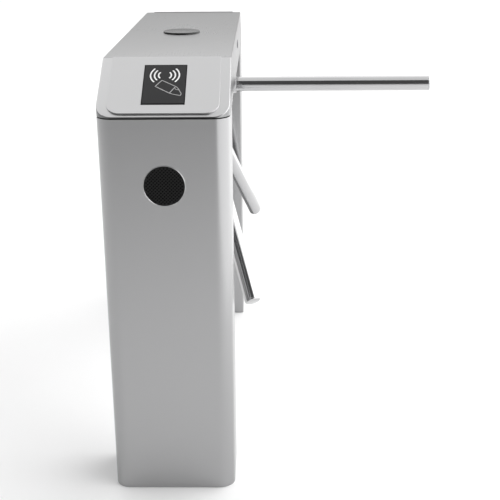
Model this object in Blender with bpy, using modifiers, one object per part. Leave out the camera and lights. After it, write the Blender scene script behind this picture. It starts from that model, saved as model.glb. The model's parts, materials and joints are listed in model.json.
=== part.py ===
"""Bridge-type tripod turnstile with a passage counter.

A stainless cabinet stands on two legs. The lid, with a sloping card-reader panel at each end,
covers a bridge whose walkway side is cut away at 45 degrees. A rotor with three arms turns on
that slanted face. Metres, +Z up, the floor at Z = 0, the walkway on the +X side, people walk
along Y.
"""

from math import asin, atan2, cos, degrees, hypot, pi, radians, sin, sqrt

import bmesh
import bpy
from mathutils import Matrix, Vector

# --- driving dimensions -------------------------------------------------------------------
GAP = 0.0003  # left between pieces that touch

WIDTH = 0.280  # cabinet, X
LENGTH = 1.200  # cabinet, Y
HEIGHT = 0.980  # floor to the lid's flat top
SHEET = 0.002  # stainless sheet of every casing
CORNER_R = 0.035  # upright corners at the two ends
BEND_R = 0.004  # folded corners that face the space between the legs

LID_H = 0.1005  # lid, lower edge to flat top
LID_SEAM = 0.0025  # open joint between the lid and what is under it
LID_LIP = 0.002  # upright edge below each sloping panel
SLOPE_RUN = 0.161  # each sloping panel's length in plan

LEG_DEPTH = 0.156  # each leg, Y
BRIDGE_DROP = 0.145  # bridge below the lid; also the 45 degree face's run
FLANGE = 0.014  # folded top edges of the bridge

TILT = radians(45)  # rotor axis below the horizontal, and each arm from the axis
AXIS_DOWN = 0.104  # rotor axis from the slanted face's top edge, along that face
CONE_DEPTH = 0.0545  # where the arms' lines meet, behind the slanted face
ARM_REACH = 0.617  # from that point to an arm's end
ARM_R = 0.019
ARM_WALL = 0.002
ARM_COUNT = 3

HUB_R = 0.084
HUB_HOLE_CLEAR = 0.003
HUB_BACK = 0.012  # hub's back face, inside the slanted face
HUB_NOSE_R = 0.038
HUB_FACE = 0.100  # conical face, from the point where the arms' lines meet
SOCKET_R = 0.0225
SOCKET_END = 0.110
SOCKET_FLARE_R = 0.031
ARM_START = 0.0835

SHAFT_R = 0.0125
RUN = 0.0003  # running clearance of shafts, radial
BEARING_R = 0.0235
BEARING_W = 0.012

PLATE_T = 0.006
PLATE_D = 0.020  # mechanism plate's near face, in from the slanted face
TOP_PLATE_T = 0.004
TOP_PLATE_D = 0.102
PILLAR_R = 0.007

WHEEL_R = 0.055
WHEEL_T = 0.008
WHEEL_D = 0.078
NOTCH_COUNT = 12
NOTCH_W = 0.013
NOTCH_DEEP = 0.007
PAWL_TURN = radians(11)
PAWL_PIVOT = (0.068, -0.040)  # along the slanted face, and along Y
PAWL_ARM = 0.012
PAWL_TAIL = 0.030

MODULE = 0.0025  # gear tooth module
GEAR_T = 0.008
GEAR_D = 0.090
ROTOR_TEETH = 48
CRANK_TEETH = 16
DAMPER_TEETH = 12
CRANK_THROW = 0.014
SPRING_REACH = 0.094  # crank pin to anchor post at rest

ENCODER_R = 0.032
ENCODER_D = 0.112

INDICATOR_R = 0.045
INDICATOR_Z = 0.734
TOP_LENS_R = 0.0465
TOP_LENS_Y = -0.024
TOP_LENS_H = 0.004

PANEL_W = 0.236  # raised plate on each slope
PANEL_T = 0.0040  # at its foot
PANEL_THIN = 0.0015  # at the ridge
PANEL_FOOT = 0.008  # up from the lid's lower edge, along the slope
PANEL_R = 0.030
WINDOW_W = 0.091
WINDOW_L = 0.1265
WINDOW_PROUD = 0.0005
WINDOW_MID = 0.09725  # its middle, up the slope

DOOR_W = 0.190
DOOR_Z = (0.120, 0.640)
DOOR_GAP = 0.0015

HINGE_KNUCKLE_R = 0.004
HINGE_OFF = 0.0045  # pin above the panel it is screwed to
HINGE_PIN_R = 0.0015
HINGE_LEAF = 0.016
HINGE_LEAF_T = 0.0015
KNUCKLES = 5  # along each hinge; the odd ones move
KNUCKLE_GAP = 0.0005
LID_HINGE_L = 0.600
DOOR_HINGE_L = 0.300

LOCK_R = 0.0093
LOCK_Y = 0.053
LOCK_DEPTH = 0.022
CAM_LONG = 0.030
CAM_W = 0.012

ROUND = 28  # facets of a large round piece
SMALL_ROUND = 16

# --- sizes that follow from them ----------------------------------------------------------
HALF_W = WIDTH / 2
HALF_L = LENGTH / 2
LID_Z = HEIGHT - LID_H
BODY_TOP = LID_Z - LID_SEAM
BRIDGE_Z = BODY_TOP - BRIDGE_DROP
SLOPE = atan2(LID_H - LID_LIP, SLOPE_RUN)
SLOPE_LEN = hypot(LID_H - LID_LIP, SLOPE_RUN)
LEG_FACE = HALF_L - LEG_DEPTH  # the legs' faces towards each other
AXIS_X = HALF_W - AXIS_DOWN * cos(TILT)
AXIS_Z = BODY_TOP - AXIS_DOWN * sin(TILT)
ARM_TIP_X = AXIS_X - CONE_DEPTH * cos(TILT) + ARM_REACH
CABINET_X = -(ARM_TIP_X - HALF_W - HINGE_OFF - HINGE_KNUCKLE_R) / 2
HUB_CONE = HUB_FACE * (sin(TILT) + cos(TILT)) - CONE_DEPTH  # radius plus height on the cone
CRANK_V = MODULE * (ROTOR_TEETH + CRANK_TEETH) / 2
DAMPER_V = -MODULE * (ROTOR_TEETH + DAMPER_TEETH) / 2
PLATE_TOP = TOP_PLATE_D + TOP_PLATE_T
POST_V = CRANK_V + CRANK_THROW + SPRING_REACH
SPRING_D = GEAR_D - 0.0085
WHEEL_MID = WHEEL_D + WHEEL_T / 2
PAWL_T = WHEEL_T - 0.002

FINISHES = {
    "brushed_steel": ((0.60, 0.60, 0.60), 0.32, 1.0),
    "polished_tube": ((0.78, 0.78, 0.79), 0.12, 1.0),
    "cast_aluminium": ((0.55, 0.55, 0.56), 0.45, 1.0),
    "zinc_steel": ((0.52, 0.52, 0.50), 0.40, 1.0),
    "hard_steel": ((0.28, 0.28, 0.29), 0.35, 1.0),
    "black_acrylic": ((0.03, 0.03, 0.03), 0.10, 0.0),
    "smoked_lens": ((0.30, 0.30, 0.30), 0.25, 0.0),
    "black_plastic": ((0.04, 0.04, 0.04), 0.50, 0.0),
    "board_green": ((0.02, 0.16, 0.07), 0.45, 0.0),
    "rubber": ((0.03, 0.03, 0.03), 0.80, 0.0),
    "brass": ((0.62, 0.46, 0.20), 0.30, 1.0),
}


# --- scene and modelling helpers ----------------------------------------------------------
def clear_scene():
    for obj in list(bpy.data.objects):
        bpy.data.objects.remove(obj, do_unlink=True)


def new_collection(name, hidden=False):
    made = bpy.data.collections.new(name)
    bpy.context.scene.collection.children.link(made)
    made.hide_render = hidden
    return made


def make_finishes():
    made = {}
    for name, (colour, roughness, metallic) in FINISHES.items():
        finish = bpy.data.materials.new(name)
        finish.use_nodes = True
        shader = finish.node_tree.nodes["Principled BSDF"]
        shader.inputs["Base Color"].default_value = (*colour, 1)
        shader.inputs["Roughness"].default_value = roughness
        shader.inputs["Metallic"].default_value = metallic
        made[name] = finish
    return made


def empty(name, parent=None, at=(0, 0, 0), turn=(0, 0, 0)):
    made = bpy.data.objects.new(name, None)
    PARTS.objects.link(made)
    made.parent = parent
    made.location = at
    made.rotation_euler = turn
    return made


def piece(name, data, parent, finish=None, at=(0, 0, 0), turn=(0, 0, 0)):
    """An object in the parts collection, or a hidden helper if it has no finish."""
    obj = bpy.data.objects.new(name, data)
    (PARTS if finish else CUTTERS).objects.link(obj)
    obj.parent = parent
    obj.location = at
    obj.rotation_euler = turn
    if finish:
        data.materials.append(FINISH[finish])
    else:
        obj.hide_render = True
        obj.display_type = "WIRE"
    return obj


def hang(axis, *names):
    """Parents pieces, where they stand, to the empty on the joint's axis that carries them."""
    bpy.context.view_layer.update()
    for name in names:
        obj = bpy.data.objects[name]
        world = obj.matrix_world.copy()
        obj.parent = axis
        obj.matrix_parent_inverse = axis.matrix_world.inverted()
        obj.matrix_basis = world


def mesh_from(bm, name):
    bmesh.ops.recalc_face_normals(bm, faces=bm.faces)
    mesh = bpy.data.meshes.new(name)
    bm.to_mesh(mesh)
    bm.free()
    mesh.shade_smooth()
    mesh.set_sharp_from_angle(angle=radians(35))
    return mesh


def add_box(bm, low, high):
    low, high = Vector(low), Vector(high)
    size = Matrix.Diagonal((*(high - low), 1))
    bmesh.ops.create_cube(bm, size=1, matrix=Matrix.Translation((low + high) / 2) @ size)


def add_rod(bm, radius, z0, z1, at=(0, 0), sides=SMALL_ROUND, end_radius=None):
    """A cylinder or cone along Z; the second radius is the one at z1."""
    bmesh.ops.create_cone(
        bm,
        cap_ends=True,
        segments=sides,
        radius1=radius,
        radius2=radius if end_radius is None else end_radius,
        depth=z1 - z0,
        matrix=Matrix.Translation((*at, (z0 + z1) / 2)),
    )


def box(name, low, high, parent, finish=None, **place):
    bm = bmesh.new()
    add_box(bm, low, high)
    return piece(name, mesh_from(bm, name), parent, finish, **place)


def rod(name, radius, z0, z1, parent, finish=None, sides=SMALL_ROUND, end_radius=None, **place):
    bm = bmesh.new()
    add_rod(bm, radius, z0, z1, sides=sides, end_radius=end_radius)
    return piece(name, mesh_from(bm, name), parent, finish, **place)


def turned(name, profile, parent, finish=None, sides=ROUND, **place):
    """A profile of (radius, z) turned round Z. It runs down the outer side, top to bottom.

    A profile that ends away from the axis is closed back to its start, as a ring's is.
    """
    mesh = bpy.data.meshes.new(name)
    count = len(profile)
    on_axis = profile[0][0] == 0 and profile[-1][0] == 0
    edges = [(i, (i + 1) % count) for i in range(count - 1 if on_axis else count)]
    mesh.from_pydata([(r, 0, z) for r, z in profile], edges, [])
    obj = piece(name, mesh, parent, finish, **place)
    screw = obj.modifiers.new("turn", "SCREW")
    screw.steps = screw.render_steps = sides
    screw.use_merge_vertices = True
    screw.merge_threshold = 0.00001
    screw.use_smooth_shade = False
    return obj


def flat(name, outlines, z0, z1, parent, finish=None, **place):
    """Closed outlines in XY, the holes among them, extruded from z0 to z1 and made a mesh."""
    curve = bpy.data.curves.new(name, "CURVE")
    curve.dimensions = "2D"
    curve.fill_mode = "BOTH"
    curve.extrude = (z1 - z0) / 2
    for points in outlines:
        spline = curve.splines.new("POLY")
        spline.points.add(len(points) - 1)
        for point, (x, y) in zip(spline.points, points):
            point.co = (x, y, 0, 1)
        spline.use_cyclic_u = True
    helper = bpy.data.objects.new(name + "_outline", curve)
    CUTTERS.objects.link(helper)
    graph = bpy.context.evaluated_depsgraph_get()
    mesh = bpy.data.meshes.new_from_object(helper.evaluated_get(graph))
    bpy.data.objects.remove(helper)
    bm = bmesh.new()
    bm.from_mesh(mesh)
    bmesh.ops.remove_doubles(bm, verts=bm.verts, dist=0.00001)
    bmesh.ops.translate(bm, verts=bm.verts, vec=(0, 0, (z0 + z1) / 2))
    return piece(name, mesh_from(bm, name), parent, finish, **place)


def boolean(obj, other, operation):
    step = obj.modifiers.new(other.name, "BOOLEAN")
    step.operation = operation
    step.solver = "EXACT"
    step.object = other
    return obj


def cut(obj, *cutters):
    for cutter in cutters:
        boolean(obj, cutter, "DIFFERENCE")
    return obj


def join(obj, *others):
    for other in others:
        boolean(obj, other, "UNION")
    return obj


def arc(centre, radius, start, end, steps):
    """Points on an arc, angles in radians."""
    return [
        (
            centre[0] + radius * cos(start + (end - start) * i / steps),
            centre[1] + radius * sin(start + (end - start) * i / steps),
        )
        for i in range(steps + 1)
    ]


def circle(radius, at=(0, 0), sides=SMALL_ROUND):
    return arc(at, radius, 0, 2 * pi, sides)[:-1]


def rounded(x0, x1, y0, y1, low_r, high_r=None, steps=6):
    """A rectangle whose corners at y0 have one radius and those at y1 another."""
    high_r = low_r if high_r is None else high_r
    return (
        arc((x0 + low_r, y0 + low_r), low_r, pi, 1.5 * pi, steps)
        + arc((x1 - low_r, y0 + low_r), low_r, 1.5 * pi, 2 * pi, steps)
        + arc((x1 - high_r, y1 - high_r), high_r, 0, 0.5 * pi, steps)
        + arc((x0 + high_r, y1 - high_r), high_r, 0.5 * pi, pi, steps)
    )


def wall(obj, thickness):
    """Gives an open surface its sheet thickness, inwards."""
    step = obj.modifiers.new("sheet", "SOLIDIFY")
    step.thickness = thickness
    step.offset = -1
    step.use_even_offset = True
    return obj


# --- casing -------------------------------------------------------------------------------
def make_leg(prefix, side):
    """One leg, a folded tube whose outer corners have the large radius. side is -1 at the
    front and 1 at the rear."""
    frame = empty(prefix + "_leg_frame", CABINET, turn=(0, 0, 0 if side < 0 else pi))
    outline = rounded(-HALF_W, HALF_W, -HALF_L, -LEG_FACE, CORNER_R, BEND_R)
    bm = bmesh.new()
    loop = [bm.verts.new((x, y, 0)) for x, y in outline]
    edges = [bm.edges.new((a, b)) for a, b in zip(loop, loop[1:] + loop[:1])]
    risen = bmesh.ops.extrude_edge_only(bm, edges=edges)["geom"]
    top = [v for v in risen if isinstance(v, bmesh.types.BMVert)]
    bmesh.ops.translate(bm, verts=top, vec=(0, 0, BODY_TOP))
    leg = piece(prefix + "_leg", mesh_from(bm, prefix), frame, "brushed_steel")
    wall(leg, SHEET)
    reach = 4 * SHEET
    hole = rod(
        prefix + "_indicator_hole",
        INDICATOR_R + GAP,
        -reach,
        reach,
        frame,
        sides=ROUND,
        at=(0, -HALF_L, INDICATOR_Z),
        turn=(pi / 2, 0, 0),
    )
    door_hole = box(
        prefix + "_door_hole",
        (-DOOR_W / 2, -LEG_FACE - reach, DOOR_Z[0]),
        (DOOR_W / 2, -LEG_FACE + reach, DOOR_Z[1]),
        frame,
    )
    # cables pass from the leg into the bridge, on the side away from the slanted face
    away = -1 if side < 0 else 1
    near, far = away * (HALF_W - 0.020), away * (HALF_W - BRIDGE_DROP + 0.015)
    cable_hole = box(
        prefix + "_cable_hole",
        (min(near, far), -LEG_FACE - reach, BRIDGE_Z + 0.020),
        (max(near, far), -LEG_FACE + reach, BODY_TOP - 0.020),
        frame,
    )
    cut(leg, hole, door_hole, cable_hole)
    return frame


def make_base_plate(prefix, frame):
    """The plate inside a leg's foot, with holes for floor anchors and a cable."""
    inset = SHEET + GAP
    plan = rounded(
        -HALF_W + inset,
        HALF_W - inset,
        -HALF_L + inset,
        -LEG_FACE - inset,
        CORNER_R - inset,
        BEND_R - inset,
        steps=4,
    )
    anchor_x, anchor_y = HALF_W - 0.045, LEG_DEPTH / 2 - 0.035
    middle = -HALF_L + LEG_DEPTH / 2
    outlines = [plan, circle(0.020, (0, middle), sides=12)]
    for x in (-anchor_x, anchor_x):
        for y in (-anchor_y, anchor_y):
            outlines.append(circle(0.007, (x, middle + y), sides=8))
    return flat(prefix + "_base_plate", outlines, 0, PLATE_T, frame, "zinc_steel")


def make_bridge():
    """The folded trough between the legs, cut away at 45 degrees on the walkway side."""
    profile = [
        (HALF_W - FLANGE, BODY_TOP),
        (HALF_W, BODY_TOP),
        (HALF_W - BRIDGE_DROP, BRIDGE_Z),
        (-HALF_W, BRIDGE_Z),
        (-HALF_W, BODY_TOP),
        (-HALF_W + FLANGE, BODY_TOP),
    ]
    end = LEG_FACE - GAP
    bm = bmesh.new()
    line = [bm.verts.new((x, -end, z)) for x, z in profile]
    edges = [bm.edges.new((a, b)) for a, b in zip(line, line[1:])]
    drawn = bmesh.ops.extrude_edge_only(bm, edges=edges)["geom"]
    far = [v for v in drawn if isinstance(v, bmesh.types.BMVert)]
    bmesh.ops.translate(bm, verts=far, vec=(0, 2 * end, 0))
    mesh = bpy.data.meshes.new("bridge_trough")
    bmesh.ops.recalc_face_normals(bm, faces=bm.faces)
    slant = next(f for f in bm.faces if abs(f.normal.x) > 0.5 and abs(f.normal.z) > 0.5)
    if slant.normal.x < 0:
        bmesh.ops.reverse_faces(bm, faces=bm.faces)
    bm.to_mesh(mesh)
    bm.free()
    trough = wall(piece("bridge_trough", mesh, CABINET, "brushed_steel"), SHEET)
    hole = rod("hub_hole", HUB_R + HUB_HOLE_CLEAR, -0.01, 0.01, HEAD, sides=48)
    return cut(trough, hole)


def make_lid():
    """The lid: a rounded box cut by a slope at each end, open below."""
    plan = rounded(-HALF_W, HALF_W, -HALF_L, HALF_L, CORNER_R)
    bm = bmesh.new()
    floor = bm.faces.new([bm.verts.new((x, y, LID_Z)) for x, y in plan])
    raised = bmesh.ops.extrude_face_region(bm, geom=[floor])["geom"]
    top = [v for v in raised if isinstance(v, bmesh.types.BMVert)]
    bmesh.ops.translate(bm, verts=top, vec=(0, 0, LID_H))
    for side in (-1, 1):
        everything = bm.verts[:] + bm.edges[:] + bm.faces[:]
        across = (0, side * sin(SLOPE), cos(SLOPE))
        lip = (0, side * HALF_L, LID_Z + LID_LIP)
        sliced = bmesh.ops.bisect_plane(
            bm, geom=everything, plane_co=lip, plane_no=across, clear_outer=True
        )
        rim = [e for e in sliced["geom_cut"] if isinstance(e, bmesh.types.BMEdge)]
        bmesh.ops.edgenet_fill(bm, edges=rim)
    bmesh.ops.remove_doubles(bm, verts=bm.verts, dist=0.00001)
    bmesh.ops.recalc_face_normals(bm, faces=bm.faces)
    below = [f for f in bm.faces if f.normal.z < -0.99]
    bmesh.ops.delete(bm, geom=below, context="FACES_ONLY")
    mesh = bpy.data.meshes.new("lid_shell")
    bm.to_mesh(mesh)
    bm.free()
    lid = wall(piece("lid_shell", mesh, CABINET, "brushed_steel"), SHEET)
    reach = 4 * SHEET
    lens_hole = rod(
        "top_lens_hole",
        TOP_LENS_R + GAP,
        HEIGHT - reach,
        HEIGHT + reach,
        CABINET,
        sides=ROUND,
        at=(0, TOP_LENS_Y, 0),
    )
    lock_hole = rod("lid_lock_hole", LOCK_R + GAP, -reach, reach, LOCK_FRAME)
    window_holes = [
        box(
            prefix + "_window_hole",
            (-WINDOW_W / 2 + 0.006, WINDOW_MID - WINDOW_L / 2 + 0.006, -reach),
            (WINDOW_W / 2 - 0.006, WINDOW_MID + WINDOW_L / 2 - 0.006, reach),
            frame,
        )
        for prefix, frame in SLOPES.items()
    ]
    return cut(lid, lens_hole, lock_hole, *window_holes)


def thinned(obj):
    """Lowers a panel's upper face towards the ridge, where it ends almost flush."""
    fall = (PANEL_T - PANEL_THIN) / (SLOPE_LEN - PANEL_FOOT)
    for vert in obj.data.vertices:
        if vert.co.z > 2 * GAP:
            vert.co.z -= fall * (vert.co.y - PANEL_FOOT)
    return obj


def make_reader_panel(prefix, frame):
    """The raised plate on one slope, its card window and the reader under the sheet."""
    half = WINDOW_W / 2 + GAP
    low, high = WINDOW_MID - WINDOW_L / 2 - GAP, WINDOW_MID + WINDOW_L / 2 + GAP
    outline = rounded(
        -PANEL_W / 2, PANEL_W / 2, PANEL_FOOT, SLOPE_LEN, PANEL_R, 0.001, steps=6
    )
    opening = [(-half, low), (half, low), (half, high), (-half, high)]
    plate = flat(
        prefix + "_reader_plate",
        [outline, opening],
        GAP,
        GAP + PANEL_T,
        frame,
        "brushed_steel",
    )
    thinned(plate)
    window = box(
        prefix + "_reader_window",
        (-WINDOW_W / 2, WINDOW_MID - WINDOW_L / 2, GAP),
        (WINDOW_W / 2, WINDOW_MID + WINDOW_L / 2, GAP + PANEL_T + WINDOW_PROUD),
        frame,
        "black_acrylic",
    )
    thinned(window)
    box(
        prefix + "_card_reader",
        (-WINDOW_W / 2 + 0.002, WINDOW_MID - WINDOW_L / 2 + 0.002, -SHEET - GAP - 0.018),
        (WINDOW_W / 2 - 0.002, WINDOW_MID + WINDOW_L / 2 - 0.002, -SHEET - GAP),
        frame,
        "black_plastic",
    )


def make_end_indicator(prefix, frame):
    """A round LED direction indicator set in a leg's outer face."""
    place = {"at": (0, -HALF_L, INDICATOR_Z), "turn": (pi / 2, 0, 0)}
    proud = 0.0005
    rod(
        prefix + "_indicator_lens",
        INDICATOR_R,
        -SHEET,
        proud,
        frame,
        "black_acrylic",
        sides=ROUND,
        **place,
    )
    back, rim, hollow = -SHEET - 0.024, INDICATOR_R + 0.005, INDICATOR_R - 0.005
    profile = [
        (hollow, -SHEET - GAP),
        (rim, -SHEET - GAP),
        (rim, back),
        (0, back),
        (0, back + 0.003),
        (hollow, back + 0.003),
    ]
    # the ring of points is opened at the axis, so that the cup has a solid floor
    cup = profile[4:] + profile[:4]
    turned(prefix + "_indicator_housing", cup, frame, "black_plastic", sides=24, **place)


def make_top_indicator():
    """A round pass light that stands proud of the lid's flat top."""
    top = HEIGHT + TOP_LENS_H
    edge = 0.0015
    lens = [
        (0, top),
        (TOP_LENS_R - edge, top),
        (TOP_LENS_R, top - edge),
        (TOP_LENS_R, HEIGHT - SHEET),
        (0, HEIGHT - SHEET),
    ]
    turned("top_indicator_lens", lens, CABINET, "smoked_lens", at=(0, TOP_LENS_Y, 0))
    rim, hollow = TOP_LENS_R + 0.004, TOP_LENS_R - 0.006
    upper = HEIGHT - SHEET - GAP
    floor = upper - 0.020
    cup = [
        (0, floor + 0.003),
        (hollow, floor + 0.003),
        (hollow, upper),
        (rim, upper),
        (rim, floor),
        (0, floor),
    ]
    turned(
        "top_indicator_housing",
        cup,
        CABINET,
        "black_plastic",
        sides=24,
        at=(0, TOP_LENS_Y, 0),
    )


# --- hinges and locks ---------------------------------------------------------------------
def make_leaf(name, length, moving, parent, finish, sunk=0.0, **place):
    """One leaf of a continuous hinge: its pin on Z, the panel's surface at y = -HINGE_OFF.

    The moving leaf lies on the +X side and is bored; the fixed one holds the pin. A leaf that
    is welded to its panel is sunk into it a little.
    """
    low = -HINGE_OFF + GAP - sunk
    high = -HINGE_OFF + GAP + HINGE_LEAF_T
    meet = sqrt(HINGE_KNUCKLE_R**2 - high**2)
    barrel = arc((0, 0), HINGE_KNUCKLE_R, atan2(high, meet), 1.5 * pi, 9)
    outline = [(0, low), (HINGE_LEAF, low), (HINGE_LEAF, high)] + barrel
    outlines = [outline]
    if moving:
        outlines.append(circle(HINGE_PIN_R + 0.0003, sides=10))
    else:
        outlines = [[(-x, y) for x, y in reversed(outline)]]
    leaf = flat(name, outlines, -length / 2, length / 2, parent, finish, **place)
    pitch = length / KNUCKLES
    reach = HINGE_KNUCKLE_R + 0.0008
    bm = bmesh.new()
    for i in range(KNUCKLES):
        if (i % 2 == 1) == moving:
            continue
        start, end = -length / 2 + i * pitch, -length / 2 + (i + 1) * pitch
        start = start - 0.01 if i == 0 else start - KNUCKLE_GAP / 2
        end = end + 0.01 if i == KNUCKLES - 1 else end + KNUCKLE_GAP / 2
        add_box(bm, (-reach, -reach - 0.001, start), (reach, reach, end))
    cut(leaf, piece(name + "_comb", mesh_from(bm, name), parent, **place))
    if not moving:
        pin = rod(name + "_pin", HINGE_PIN_R, 0.001 - length / 2, length / 2 - 0.001, parent, sides=10, **place)
        join(leaf, pin)
    return leaf


def make_door(prefix, frame, away):
    """The service door in a leg's inner face, its hinge and its quarter-turn latch.

    away is 1 where the door's hinge is on the leg frame's -X side.
    """
    half = DOOR_W / 2 - DOOR_GAP
    door = box(
        prefix + "_leg_door",
        (-half, -LEG_FACE - SHEET, DOOR_Z[0] + DOOR_GAP),
        (half, -LEG_FACE, DOOR_Z[1] - DOOR_GAP),
        frame,
        "brushed_steel",
    )
    # hinge axes: Z along the leg, X towards the door's middle, Y out of the leg's inner face
    hinge = {
        "at": (-away * (DOOR_W - DOOR_GAP) / 2, -LEG_FACE + HINGE_OFF, (DOOR_Z[0] + DOOR_Z[1]) / 2),
        "turn": (0, 0, 0) if away > 0 else (pi, 0, pi),
    }
    make_leaf(prefix + "_door_hinge", DOOR_HINGE_L, False, frame, "zinc_steel", **hinge)
    leaf = make_leaf(prefix + "_door_leaf", DOOR_HINGE_L, True, frame, None, sunk=0.0008, **hinge)
    join(door, leaf)
    latch_x = away * (half - 0.016)
    latch_z = (DOOR_Z[0] + DOOR_Z[1]) / 2
    place = {"at": (latch_x, -LEG_FACE, latch_z), "turn": (-pi / 2, 0, 0)}
    stem_r = 0.007
    cut(door, rod(prefix + "_latch_hole", stem_r + RUN, -0.01, 0.01, frame, **place))
    head = [
        (0, 0.0028),
        (0.0095, 0.0028),
        (0.0110, 0.0012),
        (0.0110, GAP),
        (stem_r, GAP),
        (stem_r, -0.008),
        (0, -0.008),
    ]
    latch = turned(prefix + "_door_latch", head, frame, "zinc_steel", sides=SMALL_ROUND, **place)
    slot = box(prefix + "_latch_slot", (-0.008, -0.0008, 0.0012), (0.008, 0.0008, 0.005), frame, **place)
    # the latch is stored released, its cam upright behind the door
    cam = box(
        prefix + "_latch_cam",
        (-CAM_W / 2, -CAM_W / 2, -0.0075),
        (CAM_W / 2, CAM_LONG, -0.0055),
        frame,
        **place,
    )
    join(latch, cam)
    cut(latch, slot)
    axis = empty(prefix + "_door_axis", frame, **hinge)
    hang(axis, prefix + "_leg_door", prefix + "_door_latch")


def make_lid_lock():
    """A cam lock in the lid's skirt, stored released with its cam hanging down."""
    barrel = [
        (0.0110, 0.0020),
        (0.0110, GAP),
        (LOCK_R, GAP),
        (LOCK_R, -LOCK_DEPTH),
        (0.0063, -LOCK_DEPTH),
        (0.0063, 0.0020),
    ]
    turned("lid_lock_barrel", barrel, LOCK_FRAME, "zinc_steel", sides=24)
    plug = rod("lid_lock_plug", 0.0060, -LOCK_DEPTH - 0.002, 0.0024, LOCK_FRAME, "brass", sides=16)
    key_slot = box("key_slot", (-0.0006, -0.0035, -0.004), (0.0006, 0.0035, 0.005), LOCK_FRAME)
    cam = box(
        "lock_cam",
        (-CAM_W / 2, -CAM_LONG, -LOCK_DEPTH - 0.0035),
        (CAM_W / 2, CAM_W / 2, -LOCK_DEPTH - 0.0015),
        LOCK_FRAME,
    )
    return cut(join(plug, cam), key_slot)


def make_lid_hinge():
    """A continuous hinge under the lid's lower edge, on the side away from the walkway."""
    # its Z along the cabinet, its X up, its Y away from the cabinet
    axes = Matrix(((0, -1, 0), (0, 0, -1), (1, 0, 0))).to_euler()
    place = {"at": (-HALF_W - HINGE_OFF, 0, LID_Z - LID_SEAM / 2), "turn": axes}
    make_leaf("lid_hinge_base", LID_HINGE_L, False, CABINET, "zinc_steel", **place)
    make_leaf("lid_hinge_leaf", LID_HINGE_L, True, CABINET, "zinc_steel", **place)
    return empty("lid_axis", CABINET, **place)


def make_lid_catch():
    """The bracket on the bridge's flange under whose lip the turned cam lies."""
    # inside the path of the skirt, which swings about the far side's lower edge
    foot_x = HALF_W - FLANGE - 0.0015
    lock_z = LID_Z + LID_H * 0.59
    lip_z = lock_z + CAM_W / 2 + 0.002
    base = BODY_TOP + GAP
    cam_x = HALF_W - LOCK_DEPTH - 0.0035
    t = 0.002
    outline = [
        (foot_x + 0.012, base),
        (foot_x + 0.012, base + t - GAP),
        (foot_x + t, base + t - GAP),
        (foot_x + t, lip_z + t),
        (cam_x - 0.004, lip_z + t),
        (cam_x - 0.004, lip_z),
        (foot_x, lip_z),
        (foot_x, base),
    ]
    y0 = LOCK_Y + 0.017
    return flat(
        "lid_catch",
        [outline],
        -(y0 + 0.028),
        -y0,
        CABINET,
        "zinc_steel",
        turn=(pi / 2, 0, 0),
    )


def make_rest_strip():
    """A rubber strip on the bridge's flange that carries the lid's walkway edge."""
    low = (HALF_W - 0.0095, -0.400, BODY_TOP + GAP)
    return box("lid_rest_strip", low, (HALF_W - 0.0005, 0.030, LID_Z - GAP), CABINET, "rubber")


# --- rotor: frame HEAD, z inwards from the slanted face, y along the cabinet -----------------
def arm_frames():
    """One empty for each arm, at the point where their lines meet, its Z along the arm."""
    frames = []
    for i in range(ARM_COUNT):
        turn = Matrix.Rotation(2 * pi * i / ARM_COUNT, 4, "Z")
        lean = Matrix.Rotation(pi - TILT, 4, "Y")
        frame = empty(f"arm_{i + 1}_frame", HEAD)
        frame.matrix_local = Matrix.Translation((0, 0, CONE_DEPTH)) @ turn @ lean
        frames.append(frame)
    return frames


def make_hub(frames):
    """The cast hub: a blunt cone with a flared socket for each arm."""
    rim_h, nose_h = HUB_CONE - HUB_R, HUB_CONE - HUB_NOSE_R
    bore = SHAFT_R + RUN
    soft = 0.003
    # heights are out of the slanted face, so they are negative in z
    profile = [
        (bore, HUB_BACK),
        (HUB_R - 0.0015, HUB_BACK),
        (HUB_R, HUB_BACK - 0.0015),
        (HUB_R, -rim_h),
        (HUB_NOSE_R + soft / 2, -nose_h + soft / 2),
        (HUB_NOSE_R - soft, -nose_h),
        (bore, -nose_h),
    ]
    hub = turned("rotor_hub", profile, HEAD, "cast_aluminium", sides=40)
    for i, frame in enumerate(frames):
        # each socket is one turned form, flared where it leaves the cone
        profile = [
            (0, SOCKET_END),
            (SOCKET_R - 0.0008, SOCKET_END),
            (SOCKET_R, SOCKET_END - 0.0008),
            (SOCKET_R, SOCKET_END - 0.003),
            (SOCKET_R + 0.0025, HUB_FACE + 0.002),
            (SOCKET_FLARE_R, HUB_FACE - 0.003),
            (SOCKET_FLARE_R - 0.004, ARM_START),
            (0, ARM_START),
        ]
        join(hub, turned(f"socket_{i}", profile, frame, sides=24))
    # nothing outside the rim may reach back to the slanted face
    keep_clear = turned(
        "rim_clearance",
        [
            (HUB_R + 0.0004, HUB_BACK + 0.01),
            (HUB_R + 0.05, HUB_BACK + 0.01),
            (HUB_R + 0.05, -0.0025),
            (HUB_R + 0.0004, -0.0025),
        ],
        HEAD,
        sides=40,
    )
    cut(hub, keep_clear)
    for i, frame in enumerate(frames):
        cut(hub, rod(f"bore_{i}", ARM_R + GAP, ARM_START - GAP, SOCKET_END + 0.01, frame, sides=24))
    cap_foot = -nose_h - GAP
    cap_r = HUB_NOSE_R - soft - 0.001
    cap = [
        (0, cap_foot),
        (cap_r, cap_foot),
        (cap_r, cap_foot - 0.002),
        (cap_r - 0.003, cap_foot - 0.0045),
        (0, cap_foot - 0.006),
    ]
    turned("hub_nose_cap", cap, HEAD, "polished_tube")


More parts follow.
